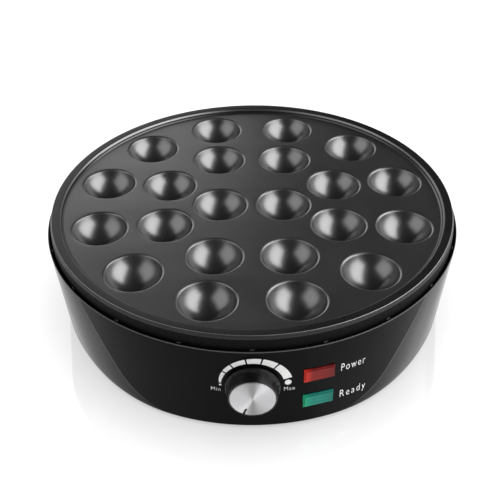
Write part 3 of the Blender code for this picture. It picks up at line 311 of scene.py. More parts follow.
def turned_metal():
    """Face-turned aluminium: fine rings round the knob's axis, with the fan-shaped gleam."""
    made, tree, shader = material("turned_aluminium", (0.75, 0.75, 0.76), 0.60, 1.0)
    place = place_node(tree)
    split = tree.nodes.new("ShaderNodeSeparateXYZ")
    tree.links.new(place, split.inputs["Vector"])
    offsets = []
    for axis, middle in (("X", 0.0), ("Z", knob_z)):
        offset = tree.nodes.new("ShaderNodeMath")
        offset.operation = "SUBTRACT"
        offset.inputs[1].default_value = middle
        tree.links.new(split.outputs[axis], offset.inputs[0])
        offsets.append(offset.outputs["Value"])
    flat = tree.nodes.new("ShaderNodeCombineXYZ")
    tree.links.new(offsets[0], flat.inputs["X"])
    tree.links.new(offsets[1], flat.inputs["Y"])
    length = tree.nodes.new("ShaderNodeVectorMath")
    length.operation = "LENGTH"
    tree.links.new(flat.outputs["Vector"], length.inputs[0])
    rings = tree.nodes.new("ShaderNodeTexNoise")
    rings.noise_dimensions = "1D"
    rings.inputs["Scale"].default_value = 5200.0
    rings.inputs["Detail"].default_value = 3.0
    tree.links.new(length.outputs["Value"], rings.inputs["W"])
    bump(tree, shader, rings.outputs["Fac"], 0.00003, 0.6)
    tree.links.new(ramp(tree, rings.outputs["Fac"], 0.56, 0.64), shader.inputs["Roughness"])
    shader.inputs["Anisotropic"].default_value = 1.0
    tangent = tree.nodes.new("ShaderNodeTangent")
    tangent.direction_type = "RADIAL"
    tangent.axis = "Y"
    shader.inputs["Anisotropic Rotation"].default_value = 0.25
    tree.links.new(tangent.outputs["Tangent"], shader.inputs["Tangent"])
    return made


def lens_plastic(name, colour, deep_and_painted_shade, painted_glow):
    """Tinted clear moulding with fine prism lines inside, a painted glow of its lamp at its left end and
    painted shade at its right.
    """
    made, tree, shader = material(name, colour, 0.10)
    place = place_node(tree)
    lines = tree.nodes.new("ShaderNodeTexWave")
    lines.inputs["Scale"].default_value = 110.0
    lines.inputs["Distortion"].default_value = 3.0
    lines.bands_direction = "Z"
    tree.links.new(place, lines.inputs["Vector"])
    between = tuple((first + second) / 2 for first, second in zip(deep_and_painted_shade, colour))
    shade = colour_mix(tree, lines.outputs["Fac"], between, colour, 0.0, 1.0)
    split = tree.nodes.new("ShaderNodeSeparateXYZ")
    tree.links.new(place, split.inputs["Vector"])
    left = around(housing_radius, lens_angle).x - lens_width / 2
    right = left + lens_width
    # Painted shade towards the right end, painted glow of the lamp behind at the left end
    painted_shade_share = ramp(tree, split.outputs["X"], 0.0, 0.8, left + 0.6 * lens_width, right)
    painted_glow_share = ramp(tree, split.outputs["X"], 1.0, 0.0, left, left + 0.3 * lens_width)
    for share, end_colour in ((painted_shade_share, deep_and_painted_shade), (painted_glow_share, painted_glow)):
        mixed = tree.nodes.new("ShaderNodeMix")
        mixed.data_type = "RGBA"
        tree.links.new(share, mixed.inputs["Factor"])
        tree.links.new(shade, mixed.inputs["A"])
        mixed.inputs["B"].default_value = (*end_colour, 1.0)
        shade = mixed.outputs["Result"]
    tree.links.new(shade, shader.inputs["Base Color"])
    tree.links.new(ramp(tree, noise(tree, 300.0), 0.08, 0.16), shader.inputs["Roughness"])
    shader.inputs["Specular IOR Level"].default_value = 0.12
    return made


def plain_metal(name, colour, roughness):
    """Plated or drawn metal with faint streaks."""
    made, tree, shader = material(name, colour, roughness, 1.0)
    streak = noise(tree, 500.0, 3.0, stretch=(1, 1, 0.2))
    tree.links.new(ramp(tree, streak, roughness - 0.08, roughness + 0.08), shader.inputs["Roughness"])
    bump(tree, shader, streak, 0.00002, 0.4)
    return made


def ink():
    """White pad-printed ink."""
    made, tree, shader = material("white_ink", (0.86, 0.86, 0.85), 0.42)
    cover = noise(tree, 900.0, 3.0)
    shade = colour_mix(tree, cover, (0.80, 0.80, 0.79), (0.90, 0.90, 0.89))
    tree.links.new(shade, shader.inputs["Base Color"])
    bump(tree, shader, cover, 0.00002, 0.3)
    return made


non_stick = coated_metal("non_stick", 1.0, 0.32, 0.36)
cup_coat = coated_metal("cup_coat", 1.0, 0.29, 0.32)
rim_coat = coated_metal("rim_coat", 0.35, 0.27, 0.31)
cast_edge = cast_metal("cast_edge", 0.4)
cast_side = cast_metal("cast_side", 0.06)
gloss_black = gloss_plastic("gloss_black", 0.07)
panel_black = gloss_plastic("panel_black", 0.045)
# Lighter grey for the housing's lip round, a thin band along each crease and the lugs: a painted highlight
painted_highlight_edge = satin_plastic("painted_highlight_edge", (0.075, 0.075, 0.076), 0.40)
# Bare metal on the rim's rounded outer edge; its lighter grey is a painted highlight along the rim
bare_edge_painted_highlight = plain_metal("bare_edge_painted_highlight", (0.36, 0.36, 0.365), 0.50)
knob_black = satin_plastic("knob_black", (0.006, 0.006, 0.0065), 0.26)
turned_face = turned_metal()
red_lens = lens_plastic(
    "red_lens_finish", colour=(0.21, 0.012, 0.010), deep_and_painted_shade=(0.10, 0.006, 0.006), painted_glow=(0.62, 0.030, 0.015)
)
green_lens = lens_plastic(
    "green_lens_finish", colour=(0.012, 0.22, 0.17), deep_and_painted_shade=(0.008, 0.13, 0.10), painted_glow=(0.010, 0.36, 0.17)
)
white_ink = ink()
finishes = {
    "zinc_plated_steel": plain_metal("zinc_plate", (0.60, 0.61, 0.62), 0.36),
    "aluminised_sheet": plain_metal("aluminised", (0.66, 0.67, 0.68), 0.34),
    "element_sheath": plain_metal("heated_sheath", (0.30, 0.28, 0.26), 0.46),
    "copper_tube": plain_metal("drawn_copper", (0.72, 0.38, 0.24), 0.34),
    "steatite": satin_plastic("ceramic_bush", (0.84, 0.81, 0.74), 0.5),
    "cream_resin": satin_plastic("resin", (0.70, 0.64, 0.50), 0.45),
    "foot_rubber": satin_plastic("rubber", (0.028, 0.028, 0.028), 0.8),
    "base_plastic": satin_plastic("base_grain", (0.024, 0.024, 0.025), 0.58),
    "satin_black_plastic": knob_black,
    "brown_wire": satin_plastic("brown_sleeve", (0.20, 0.09, 0.04), 0.5),
    "blue_wire": satin_plastic("blue_sleeve", (0.04, 0.14, 0.42), 0.5),
    "earth_wire": satin_plastic("green_sleeve", (0.20, 0.42, 0.06), 0.5),
    "white_wire": satin_plastic("white_sleeve", (0.78, 0.78, 0.76), 0.5),
    "lamp_glass": satin_plastic("lamp_tube", (0.80, 0.72, 0.62), 0.15),
    "nonstick_coating": non_stick,
    "gloss_black_plastic": gloss_black,
    "brushed_aluminium": turned_face,
    "red_lens": red_lens,
    "green_lens": green_lens,
}
for part in frame["record"]["subparts"]:
    node = nodes[part["node"]]
    node.data.materials.clear()
    node.data.materials.append(finishes[part["material_slot"]])


# Mesh helpers


def add_piece(name, mesh, finish, body, replaced=()):
    """A scene piece in the row frame that rides on a body and may stand for CAD nodes."""
    mesh.materials.clear()
    mesh.materials.append(finish)
    piece = put_object(name, mesh)
    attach(piece, body)
    if replaced:
        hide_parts(*replaced)
    return piece


def mesh_from(name, work, sharp_degrees=38.0):
    """A welded, outward-facing, smooth mesh from a bmesh."""
    bmesh.ops.remove_doubles(work, verts=work.verts, dist=weld_distance)
    bmesh.ops.recalc_face_normals(work, faces=work.faces)
    mesh = bpy.data.meshes.new(name)
    work.to_mesh(mesh)
    work.free()
    mesh.shade_smooth()
    mesh.set_sharp_from_angle(angle=math.radians(sharp_degrees))
    return mesh


def weigh_normals(piece):
    """Large faces keep their own normal beside a fillet."""
    weigh = piece.modifiers.new("weighted_normals", "WEIGHTED_NORMAL")
    weigh.mode = "FACE_AREA"
    weigh.weight = 80
    weigh.keep_sharp = True


def worked_out(holder):
    """The mesh of an object with its modifiers or its curve worked out."""
    bpy.context.view_layer.update()
    return bpy.data.meshes.new_from_object(holder.evaluated_get(bpy.context.evaluated_depsgraph_get()))


def cut_away(piece, name, work):
    """Takes the closed forms of a bmesh away from a piece, for good."""
    mesh = bpy.data.meshes.new(name)
    work.to_mesh(mesh)
    work.free()
    cutter = put_object(name, mesh)
    cut = piece.modifiers.new(name, "BOOLEAN")
    cut.operation = "DIFFERENCE"
    cut.object = cutter
    made = worked_out(piece)
    piece.modifiers.clear()
    piece.data = made
    bpy.data.objects.remove(cutter, do_unlink=True)


def add_rings(work, rings, closed=False):
    """Quads between rings of points; a ring of one point closes as a fan."""
    rows = [[work.verts.new(point) for point in ring] for ring in rings]
    pairs = list(zip(rows, rows[1:]))
    if closed:
        pairs.append((rows[-1], rows[0]))
    for upper, lower in pairs:
        count = max(len(upper), len(lower))
        for index in range(count):
            after = (index + 1) % count
            corners = [upper[index % len(upper)]]
            if len(upper) > 1:
                corners.append(upper[after])
            if len(lower) > 1:
                corners += [lower[after], lower[index]]
            else:
                corners.append(lower[0])
            work.faces.new(corners)


def circle(centre, radius, height, steps):
    """Points round an upright axis; one point at radius zero."""
    if radius <= 0:
        return [Vector((centre.x, centre.y, plate_top + height))]
    points = []
    for index in range(steps):
        angle = 2 * math.pi * index / steps
        points.append(
            Vector((
                centre.x + radius * math.cos(angle),
                centre.y + radius * math.sin(angle),
                plate_top + height,
            ))
        )
    return points


def arc(centre, radius, first, last, steps):
    """Points of (radius, height) on an arc, angles in radians from outwards to up."""
    points = []
    for step in range(steps + 1):
        angle = first + (last - first) * step / steps
        points.append((centre[0] + radius * math.cos(angle), centre[1] + radius * math.sin(angle)))
    return points


def add_face_with_holes(work, loops):
    """A flat face inside the first loop and outside the others, on their shared points."""
    curve = bpy.data.curves.new("face", "CURVE")
    curve.dimensions = "2D"
    curve.fill_mode = "FRONT"
    level = loops[0][0].z
    for loop in loops:
        spline = curve.splines.new("POLY")
        spline.points.add(len(loop) - 1)
        spline.use_cyclic_u = True
        for point, place in zip(spline.points, loop):
            point.co = (place.x, place.y, 0, 1)
    holder = put_object("face", curve)
    filled = worked_out(holder)
    bpy.data.objects.remove(holder, do_unlink=True)
    filled.transform(Matrix.Translation((0, 0, level)))
    work.from_mesh(filled)
    bpy.data.meshes.remove(filled)


def cup_centres():
    """Centres of the cups, ring by ring."""
    centres = []
    for radius, count in ((outer_ring, outer_count), (inner_ring, inner_count), (centre_ring, centre_count)):
        for index in range(count):
            centres.append(around(radius, math.pi / count + 2 * math.pi * index / count))
    return centres


# The plate

# Round the mouth of a cup: a crisp edge, a sloping band and a fillet into the bowl
band_radius = 0.0040
band_start = math.radians(17.0)
band_end = math.radians(36.0)
bowl_fillet = 0.0009
slope_guess = math.radians(70)
slope_attempts = 40


def curve_over(start, radius, first, last, steps):
    """Points that roll over from one slope to another, inwards and down."""
    points = []
    for step in range(1, steps + 1):
        slope = first + (last - first) * step / steps
        points.append((
            start[0] - radius * (math.sin(slope) - math.sin(first)),
            start[1] - radius * (math.cos(first) - math.cos(slope)),
        ))
    return points


def cup_profile():
    """From the crisp edge in the plate's face over the band and the fillet down the bowl."""
    points = [(lip_radius, 0.0)]
    points += curve_over(points[-1], band_radius, band_start, band_end, band_steps)
    # The fillet ends where the bowl has the same slope, found by repeated trial
    slope = slope_guess
    for attempt in range(slope_attempts):
        mouth = curve_over(points[-1], bowl_fillet, band_end, slope, fillet_steps)
        slope = 2 * math.atan((cup_depth + mouth[-1][1]) / mouth[-1][0])
    points += mouth
    hollow = mouth[-1][0] / math.sin(slope)
    for step in range(1, bowl_steps):
        angle = slope * (1 - step / bowl_steps)
        points.append((hollow * math.sin(angle), hollow * (1 - math.cos(angle)) - cup_depth))
    return points + [(0, -cup_depth)]


# The rim's fine profile: two steep steps with a narrow ledge, a rounded outer edge and a chamfer
rim_ease = 0.00025
fine_rise_run = 0.0009
fine_ledge_height = 0.0012
fine_ledge_run = 0.0010
fine_wall_run = 0.0007
edge_run = 0.0012
edge_radius = 0.0004
edge_turn = math.radians(75.0)
edge_drop = 0.0028

# Which faces of the plate take which finish: the rise of their normals outside, their level inside
# Normals of the rounded outer edge that take the lighter bare metal, a painted highlight
painted_highlight_rises = (0.55, 0.97)
chamfer_rise = 0.12
side_rise = -0.5
rim_coat_start = 0.00005
cup_coat_start = -0.0009


def eased(corners, before, after, ease):
    """The corners of a profile, each replaced by two points that lie short of it on both sides."""
    path = [Vector(point) for point in [before] + corners + [after]]
    points = []
    for last, corner, following in zip(path, path[1:], path[2:]):
        points.append(tuple(corner + (last - corner).normalized() * ease))
        points.append(tuple(corner + (following - corner).normalized() * ease))
    return points


def dome_profile():
    """Outside of a cup from the plate's underside to its lowest point."""
    first = math.asin((plate_thickness + bowl_rise) / dome_radius)
    points = []
    for step in range(dome_rows + 1):
        angle = first + (math.pi / 2 - first) * step / dome_rows
        points.append((dome_radius * math.cos(angle), bowl_rise - dome_radius * math.sin(angle)))
    points[-1] = (0, bowl_rise - dome_radius)
    return points


def build_plate():
    """The cast plate: cups with eased mouths, raised rim, skirt, and cup shells and bosses below."""
    work = bmesh.new()
    cups = cup_centres()
    profile = cup_profile()
    holes = []
    for centre in cups:
        add_rings(work, [circle(centre, radius, height, cup_steps) for radius, height in profile])
        holes.append(circle(centre, profile[0][0], 0.0, cup_steps))
    axis = around(0, 0)
    add_face_with_holes(work, [circle(axis, rim_foot, 0.0, round_steps)] + holes)
    rim_top = rim_step + rim_crown
    skirt_inner = skirt_radius - skirt_thickness
    outside = [(rim_foot, 0.0)]
    fine_ledge = rim_foot + fine_rise_run
    fine_wall = fine_ledge + fine_ledge_run
    edge_start = skirt_top_radius - edge_run
    outside += eased([
        (fine_ledge, fine_ledge_height),
        (fine_wall, fine_ledge_height),
        (fine_wall + fine_wall_run, rim_step),
    ], outside[0], (edge_start, rim_top), rim_ease)
    edge_arc_end = math.pi / 2 - edge_turn
    outside += arc((edge_start, rim_top - edge_radius), edge_radius, math.pi / 2, edge_arc_end, fillet_steps)
    outside += [
        (skirt_top_radius, rim_top - edge_drop),
        (skirt_radius, -skirt_depth),
        (skirt_inner, -skirt_depth),
        (skirt_inner - skirt_flare, rim_top - rim_thickness),
        (rim_ledge, -plate_thickness),
    ]
    add_rings(work, [circle(axis, radius, height, round_steps) for radius, height in outside])
    below = dome_profile()
    holes = []
    for centre in cups:
        add_rings(work, [circle(centre, radius, height, dome_steps) for radius, height in below])
        holes.append(circle(centre, below[0][0], -plate_thickness, dome_steps))
    boss_low = min(shield_top - plate_top, bowl_rise - dome_radius - boss_stand)
    hole_end = boss_low + boss_hole_depth
    boss = [(post_boss_radius, -plate_thickness), (post_boss_radius, boss_low)]
    boss += [(boss_hole_radius, boss_low), (boss_hole_radius, hole_end), (0, hole_end)]
    for degrees in boss_degrees:
        centre = around(outer_ring + post_offset, math.radians(degrees))
        add_rings(work, [circle(centre, radius, height, boss_steps) for radius, height in boss])
        holes.append(circle(centre, post_boss_radius, -plate_thickness, boss_steps))
    add_face_with_holes(work, [circle(axis, rim_ledge, -plate_thickness, round_steps)] + holes)
    piece = add_piece("plate_cast", mesh_from("plate_cast", work), non_stick, "appliance",
                      ("hot_plate",))
    coats = [non_stick, cast_edge, bare_edge_painted_highlight, rim_coat, cast_side, cup_coat]
    for coat in coats[1:]:
        piece.data.materials.append(coat)
    for face in piece.data.polygons:
        outward = Vector((face.center.x, face.center.y - axis_y))
        facing_out = outward.length > edge_start and face.normal.xy.dot(outward) > 0
        rise, level = face.normal.z, face.center.z
        coat = non_stick
        # The rounded outer edge takes the lighter bare metal: a painted highlight
        if facing_out and painted_highlight_rises[0] < rise < painted_highlight_rises[1]:
            coat = bare_edge_painted_highlight
        elif facing_out and rise > chamfer_rise:
            coat = cast_edge
        elif facing_out and rise > side_rise:
            coat = cast_side
        elif rise > 0 and level > plate_top + rim_coat_start:
            if not fine_wall - rim_ease < outward.length < fine_wall + fine_wall_run:
                coat = rim_coat
        elif rise > 0 and level < plate_top + cup_coat_start and outward.length < rim_foot:
            coat = cup_coat
        face.material_index = coats.index(coat)
    weigh_normals(piece)


# The housing


def depth_share(height):
    """0 at the housing's top, 1 at its bottom."""
    return (housing_top - height) / (housing_top - housing_bottom)


def panel_radius(height):
    """Outer radius of the front and rear panels, which taper a little downwards."""
    return housing_radius - panel_taper * depth_share(height)


def crease_angle(height):
    """Angle of the panel's crease: a leaning line, then a round corner."""
    top_half = housing_radius * math.sin(crease_top_angle)
    turn = math.pi / 2 - crease_lean
    tangent = crease_corner_radius * math.tan(turn / 2)
    corner = top_half - math.tan(crease_lean) * (housing_top - housing_bottom)
    arc_top = housing_bottom + tangent * math.cos(crease_lean)
    if height >= arc_top:
        half = top_half - math.tan(crease_lean) * (housing_top - height)
    else:
        rise = housing_bottom + crease_corner_radius - height
        half = corner - tangent + math.sqrt(max(0, crease_corner_radius ** 2 - rise ** 2))
    return math.asin(half / panel_radius(height))


def scoop_end_angle(height):
    """Angle at which the scoop beyond the crease reaches its full depth."""
    return scoop_top_angle + (scoop_bottom_angle - scoop_top_angle) * depth_share(height)


def wall_radius(angle, height):
    """Outer radius: panel in front and behind, scooped between the creases."""
    share = depth_share(height)
    fold = abs(math.atan2(math.sin(angle), math.cos(angle)))
    fold = min(fold, math.pi - fold)
    start = crease_angle(height)
    along = min(1.0, max(0.0, (fold - start) / (scoop_end_angle(height) - start)))
    sharp = 1 - (1 - along) ** 3
    soft = along * along * (3 - 2 * along)
    edge = scoop_edge_share * (1 - share ** 4)
    return panel_radius(height) - side_scoop * share * (edge * sharp + (1 - edge) * soft)


crease_margin = 0.0003
skin_margin = 0.0003
upright_rise = 0.3
lip_round_start = 0.3
inner_wall_shares = (0.85, 0.7, 0.55, 0.4, 0.25)


def column_angles(height):
    """Angles of the columns once round, with a pair close beside every crease."""
    start = crease_angle(height)
    end = scoop_end_angle(height)
    margin = crease_margin / panel_radius(height)
    quarter = [start * index / panel_columns for index in range(panel_columns)]
    quarter += [start - margin, start, start + margin]
    quarter += [start + (end - start) * index / scoop_columns for index in range(1, scoop_columns)]
    quarter += [end + (math.pi / 2 - end) * index / side_columns for index in range(side_columns)]
    half = quarter + [math.pi / 2] + [math.pi - angle for angle in reversed(quarter[1:])]
    return half + [math.pi + angle for angle in half]


def housing_ring(radius_at, height):
    """Points once round at a height; radius_at gives each one's radius from its angle."""
    return [around(radius_at(angle, height), angle, height) for angle in column_angles(height)]


def build_housing():
    """Drum moulding with crisp creases, a rounded lip and bottom edge, and its openings."""
    work = bmesh.new()
    top = housing_top - edge_round
    low = housing_bottom + edge_round
    heights = [top + (low - top) * step / wall_rows for step in range(wall_rows + 1)]

    def fixed(radius):
        return lambda angle, height: radius

    def off_wall(offset):
        return lambda angle, height: wall_radius(angle, height) - offset

    rings = [housing_ring(fixed(lip_inner_radius), housing_top - lip_chamfer)]
    rings.append(housing_ring(fixed(lip_inner_radius + lip_chamfer), housing_top))
    lip_round = arc((housing_radius - edge_round, top), edge_round, lip_round_start, math.pi / 2, edge_rows)
    for radius, height in reversed(lip_round):
        rings.append(housing_ring(fixed(radius), height))
    rings += [housing_ring(wall_radius, height) for height in heights]
    for step in range(1, edge_rows + 1):
        angle = math.pi / 2 * step / edge_rows
        inset = edge_round * (1 - math.cos(angle))
        rings.append(housing_ring(off_wall(inset), low - edge_round * math.sin(angle)))
    flange_under = housing_bottom + base_recess
    flange_top = flange_under + flange_thickness
    flange_radius = lip_inner_radius - flange_reach
    rings.append(housing_ring(off_wall(wall), housing_bottom))
    rings.append(housing_ring(off_wall(wall), flange_under))
    rings.append(housing_ring(fixed(flange_radius), flange_under))
    rings.append(housing_ring(fixed(flange_radius), flange_top))
    rings.append(housing_ring(off_wall(wall), flange_top))
    span = housing_top - flange_top
    for share in inner_wall_shares:
        rings.append(housing_ring(off_wall(wall), housing_top - span * share))
    rings.append(housing_ring(fixed(lip_inner_radius), housing_top - lug_depth))
    add_rings(work, rings, closed=True)
    mesh = mesh_from("housing_shell", work, 30.0)
    piece = add_piece("housing_shell", mesh, gloss_black, "appliance", ("housing",))
    cut_openings(piece)
    coats = [gloss_black, panel_black, painted_highlight_edge]
    piece.data.materials.clear()
    for coat in coats:
        piece.data.materials.append(coat)
    for face in piece.data.polygons:
        x, y = face.center.x, face.center.y - axis_y
        fold = abs(math.atan2(x, -y))
        fold = min(fold, math.pi - fold)
        height = face.center.z - plate_top
        outside = math.hypot(x, y) > panel_radius(height) - skin_margin
        upright = abs(face.normal.z) < upright_rise and housing_bottom < height < housing_top
        beyond = (fold - crease_angle(height)) * panel_radius(height)
        coat = gloss_black
        # The lip's round and a thin band beside each crease take the lighter grey: a painted highlight
        if outside and (height > housing_top - edge_round or upright and abs(beyond) < crease_margin):
            coat = painted_highlight_edge
        elif outside and upright and beyond < 0 and y < 0:
            coat = panel_black
        face.material_index = coats.index(coat)
    weigh_normals(piece)


def box_at(work, size, centre, turn):
    """A box turned about the appliance's axis."""
    place = Matrix.Translation(centre) @ Matrix.Rotation(turn, 4, "Z") @ Matrix.Diagonal((*size, 1))
    bmesh.ops.create_cube(work, size=1, matrix=place)


def middle_height(name):
    """Height of the middle of a node's box above the plate."""
    low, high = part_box(name)
    return (low.z + high.z) / 2 - plate_top


def cut_openings(piece):
    """Lens windows and the holes for the stem and the gland, as in the part."""
    work = bmesh.new()
    size = (lens_width + window_clear, cutter_depth, lens_height + window_clear)
    for name in ("power_lens", "ready_lens"):
        height = middle_height(name)
        box_at(work, size, around(panel_radius(height), lens_angle, height), lens_angle)
    turn = Matrix.Rotation(math.pi / 2, 4, "X")
    for name, radius, angle in (
        ("thermostat_body", stem_hole_radius, 0.0),
        ("cord_gland", gland_hole_radius, math.pi),
    ):
        place = Matrix.Translation(around(housing_radius, angle, middle_height(name)))
        bmesh.ops.create_cone(
            work, cap_ends=True, segments=hole_steps, radius1=radius, radius2=radius, depth=cutter_depth,
            matrix=place @ turn,
        )
    cut_away(piece, "opening_cutter", work)


def build_lugs():
    """Small rounded lugs that centre the plate in the lip."""
    inner = skirt_radius + lug_clear
    outer = lip_inner_radius + lug_sink
    top = housing_top + lug_stand
    low = housing_top - lug_depth
    work = bmesh.new()
    size = (lug_width, outer - inner, top - low)
    for index in range(lug_count):
        angle = 2 * math.pi * index / lug_count
        box_at(work, size, around((inner + outer) / 2, angle, (top + low) / 2), angle)
    bmesh.ops.bevel(work, geom=list(work.edges), offset=lug_bevel, segments=2, affect="EDGES")
    # The lugs take the lighter grey of the painted highlight
    add_piece("centring_lugs", mesh_from("centring_lugs", work), painted_highlight_edge, "appliance")


def build_lenses():
    """Lens blocks with a rounded front edge."""
    for name, finish, slot_name in (
        ("power_lens", red_lens, "red_lens"),
        ("ready_lens", green_lens, "green_lens"),
    ):
        height = middle_height(name)
        work = bmesh.new()
        front = panel_radius(height) + lens_stand
        back = panel_radius(height) - lens_depth
        size = (lens_width, front - back, lens_height)
        box_at(work, size, around((front + back) / 2, lens_angle, height), lens_angle)
        axis = around(0, 0)
        outward = around(1, lens_angle) - axis
        edges = [
            edge for edge in work.edges
            if all((vertex.co - axis).dot(outward) > front - lens_front_margin for vertex in edge.verts)
        ]
        bmesh.ops.bevel(work, geom=edges, offset=lens_bevel, segments=3, affect="EDGES")
        mesh = mesh_from(name + "_moulding", work, 50.0)
        piece = add_piece(name + "_moulding", mesh, finish, "appliance", (name,))
        weigh_normals(piece)


# The knob


def turned_piece(name, profile, finish, replaced, sharp=38.0):
    """A body of revolution about the knob's axis from (radius, distance out of the knob's base)."""
    work = bmesh.new()
    base = Vector((0, knob_high.y, knob_z))
    rings = []
    for radius, reach in profile:
        steps = knob_steps if radius > 0 else 1
        ring = []
        for index in range(steps):
            angle = 2 * math.pi * index / steps
            ring.append(base + Vector((radius * math.sin(angle), -reach, radius * math.cos(angle))))
        rings.append(ring)
    add_rings(work, rings)
    piece = add_piece(name, mesh_from(name, work, sharp), finish, "knob", replaced)
    weigh_normals(piece)
    return piece


def build_knob():
    """Tapered knob with a rounded front edge, and its turned metal face with the pointer notch."""
    length = knob_high.y - knob_low.y
    base = (knob_high.x - knob_low.x) / 2
    cap = (cap_high.x - cap_low.x) / 2
    cap_back = knob_high.y - cap_high.y
    cap_front = knob_high.y - cap_low.y
    seat, seat_floor = cap + cap_clear, cap_back - cap_clear
    face = base - knob_taper - knob_front_round
    shoulder = base - knob_edge
    profile = [(0, seat_floor), (seat, seat_floor), (seat, length)]
    profile += arc((face, length - knob_front_round), knob_front_round, math.pi / 2, 0, fillet_steps)
    profile += [(shoulder, knob_shoulder_height)]
    profile += arc((shoulder, knob_foot_height), knob_edge, math.pi / 2, 0, edge_rows)
    profile += [(base, 0), (knob_cavity_radius, 0)]
    profile += [(knob_cavity_radius, knob_cavity_depth), (0, knob_cavity_depth)]
    turned_piece("knob_moulding", profile, knob_black, ("control_knob",))
    disc = [(0, cap_front), (cap - cap_chamfer, cap_front), (cap, cap_front - cap_chamfer)]
    disc += [(cap, cap_back), (0, cap_back)]
    piece = turned_piece("knob_face", disc, turned_face, ("knob_cap",), 25.0)
    stretch = cap + notch_overrun - pointer_start
    work = bmesh.new()
    centre = Vector((0, knob_high.y - cap_front, knob_z))
    turn = Matrix.Rotation(pointer_angle, 4, "Y")
    outwards = Matrix.Translation((0, 0, pointer_start + stretch / 2))
    size = Matrix.Diagonal((pointer_width, notch_depth, stretch, 1))
    bmesh.ops.create_cube(work, size=1, matrix=Matrix.Translation(centre) @ turn @ outwards @ size)
    cut_away(piece, "notch", work)


# Printing on the front panel

print_lift = 0.00005
print_depth = 0.00008


def on_panel(x, z, lift):
    """The point of the front panel at that x and height."""
    radius = panel_radius(z - plate_top) + lift
    return Vector((x, axis_y - math.sqrt(radius ** 2 - x ** 2), z))


def print_mesh(name, work):
    """Wraps flat (x, z) faces on the panel as a skin of ink."""
    front = list(work.faces)
    made = bmesh.ops.extrude_face_region(work, geom=front)
    moved = {element for element in made["geom"] if isinstance(element, bmesh.types.BMVert)}
    for vertex in work.verts:
        lift = print_lift + (print_depth if vertex in moved else 0)
        vertex.co = on_panel(vertex.co.x, vertex.co.z, lift)
    add_piece(name, mesh_from(name, work), white_ink, "appliance")


# Dial scale: its bars in degrees from upright, its dots as radius, degrees and size
scale_segments = ((-84, -57.9), (-55.1, -38.4), (-35.6, -12.0), (-9.2, 13.4), (16.2, 40.1), (42.9, 76))
scale_dots = ((0.0198, -89, 0.0008), (0.0217, 85.3, 0.0021))
scale_inner = 0.0194
scale_narrow = 0.0205
scale_wide = 0.0247
scale_power = 0.6
scale_degrees_per_step = 3


def build_scale():
    """Arc of tapered bars round the knob, with a dot at each end."""
    work = bmesh.new()
    first_mark, last_mark = scale_segments[0][0], scale_segments[-1][1]

    def outer(degrees):
        share = (degrees - first_mark) / (last_mark - first_mark)
        return scale_narrow + (scale_wide - scale_narrow) * share ** scale_power

    def place(radius, degrees):
        angle = math.radians(degrees)
        return Vector((radius * math.sin(angle), 0, knob_z + radius * math.cos(angle)))

    for first, last in scale_segments:
        steps = max(3, round((last - first) / scale_degrees_per_step))
        marks = [first + (last - first) * step / steps for step in range(steps + 1)]
        low = [work.verts.new(place(scale_inner, mark)) for mark in marks]
        high = [work.verts.new(place(outer(mark), mark)) for mark in marks]
        for index in range(steps):
            work.faces.new((low[index], low[index + 1], high[index + 1], high[index]))
    for radius, degrees, size in scale_dots:
        centre = place(radius, degrees)
        rim = []
        for index in range(dot_steps):
            turn = 2 * math.pi * index / dot_steps
            rim.append(work.verts.new(centre + Vector((size * math.cos(turn), 0, size * math.sin(turn)))))
        work.faces.new(rim)
    print_mesh("dial_scale", work)


# Words: name, text, degrees from the front, rise above the knob's axis, size, width, spacing, swell
words = (
    ("min_word", "Min", -9.1, -0.0039, 0.0046, 0.86, 1.12, -0.00006),
    ("max_word", "Max", 9.0, -0.0039, 0.0046, 0.86, 1.12, -0.00006),
    ("power_word", "Power", 25.7, 0.0046, 0.0090, 0.61, 1.28, -0.00007),
    ("ready_word", "Ready", 26.1, -0.0190, 0.0090, 0.69, 1.32, -0.00007),
)


def build_words():
    """Plain wording beside the dial and the lenses, from the built-in font."""
    radius = panel_radius(knob_z - plate_top)
    for name, word, degrees, rise, size, narrow, spacing, swell in words:
        curve = bpy.data.curves.new(name, "FONT")
        curve.body = word
        curve.size = size
        curve.align_x = "CENTER"
        curve.align_y = "CENTER"
        curve.space_character = spacing
        curve.offset = swell
        holder = put_object(name, curve)
        flat = worked_out(holder)
        bpy.data.objects.remove(holder, do_unlink=True)
        work = bmesh.new()
        work.from_mesh(flat)
        bpy.data.meshes.remove(flat)
        centre = math.radians(degrees)
        for vertex in work.verts:
            angle = centre + vertex.co.x * narrow / radius
            vertex.co = Vector((radius * math.sin(angle), 0, knob_z + rise + vertex.co.y))
        print_mesh(name, work)


build_plate()
build_housing()
build_lugs()
build_lenses()
build_knob()
build_scale()
build_words()

# Studio

floor_half = 12.0
floor_sink = 0.0002
floor_colour = 0.80
floor_glow = 0.87
floor_shade = 0.22
floor_mirror = 0.15
floor_mirror_roughness = 0.04
# Reach and depth of the painted contact shadow that ambient occlusion puts on the floor's glow
painted_shadow_reach = 0.035
painted_shadow_share = 0.45
ceiling_height = 3.0
ceiling_side = 40.0
world_front = 0.05
world_back = 0.8
world_front_end = -0.5
world_back_start = 0.6
world_high = 0.03
world_low_end = 0.10
world_high_start = 0.38


def seen_rays(tree):
    """1 for rays from the camera and for those that glossy and clear surfaces send on."""
    path = tree.nodes.new("ShaderNodeLightPath")
    total = path.outputs["Is Camera Ray"]
    for kind in ("Is Glossy Ray", "Is Transmission Ray"):
        either = tree.nodes.new("ShaderNodeMath")
        either.operation = "MAXIMUM"
        tree.links.new(total, either.inputs[0])
        tree.links.new(path.outputs[kind], either.inputs[1])
        total = either.outputs["Value"]
    return total


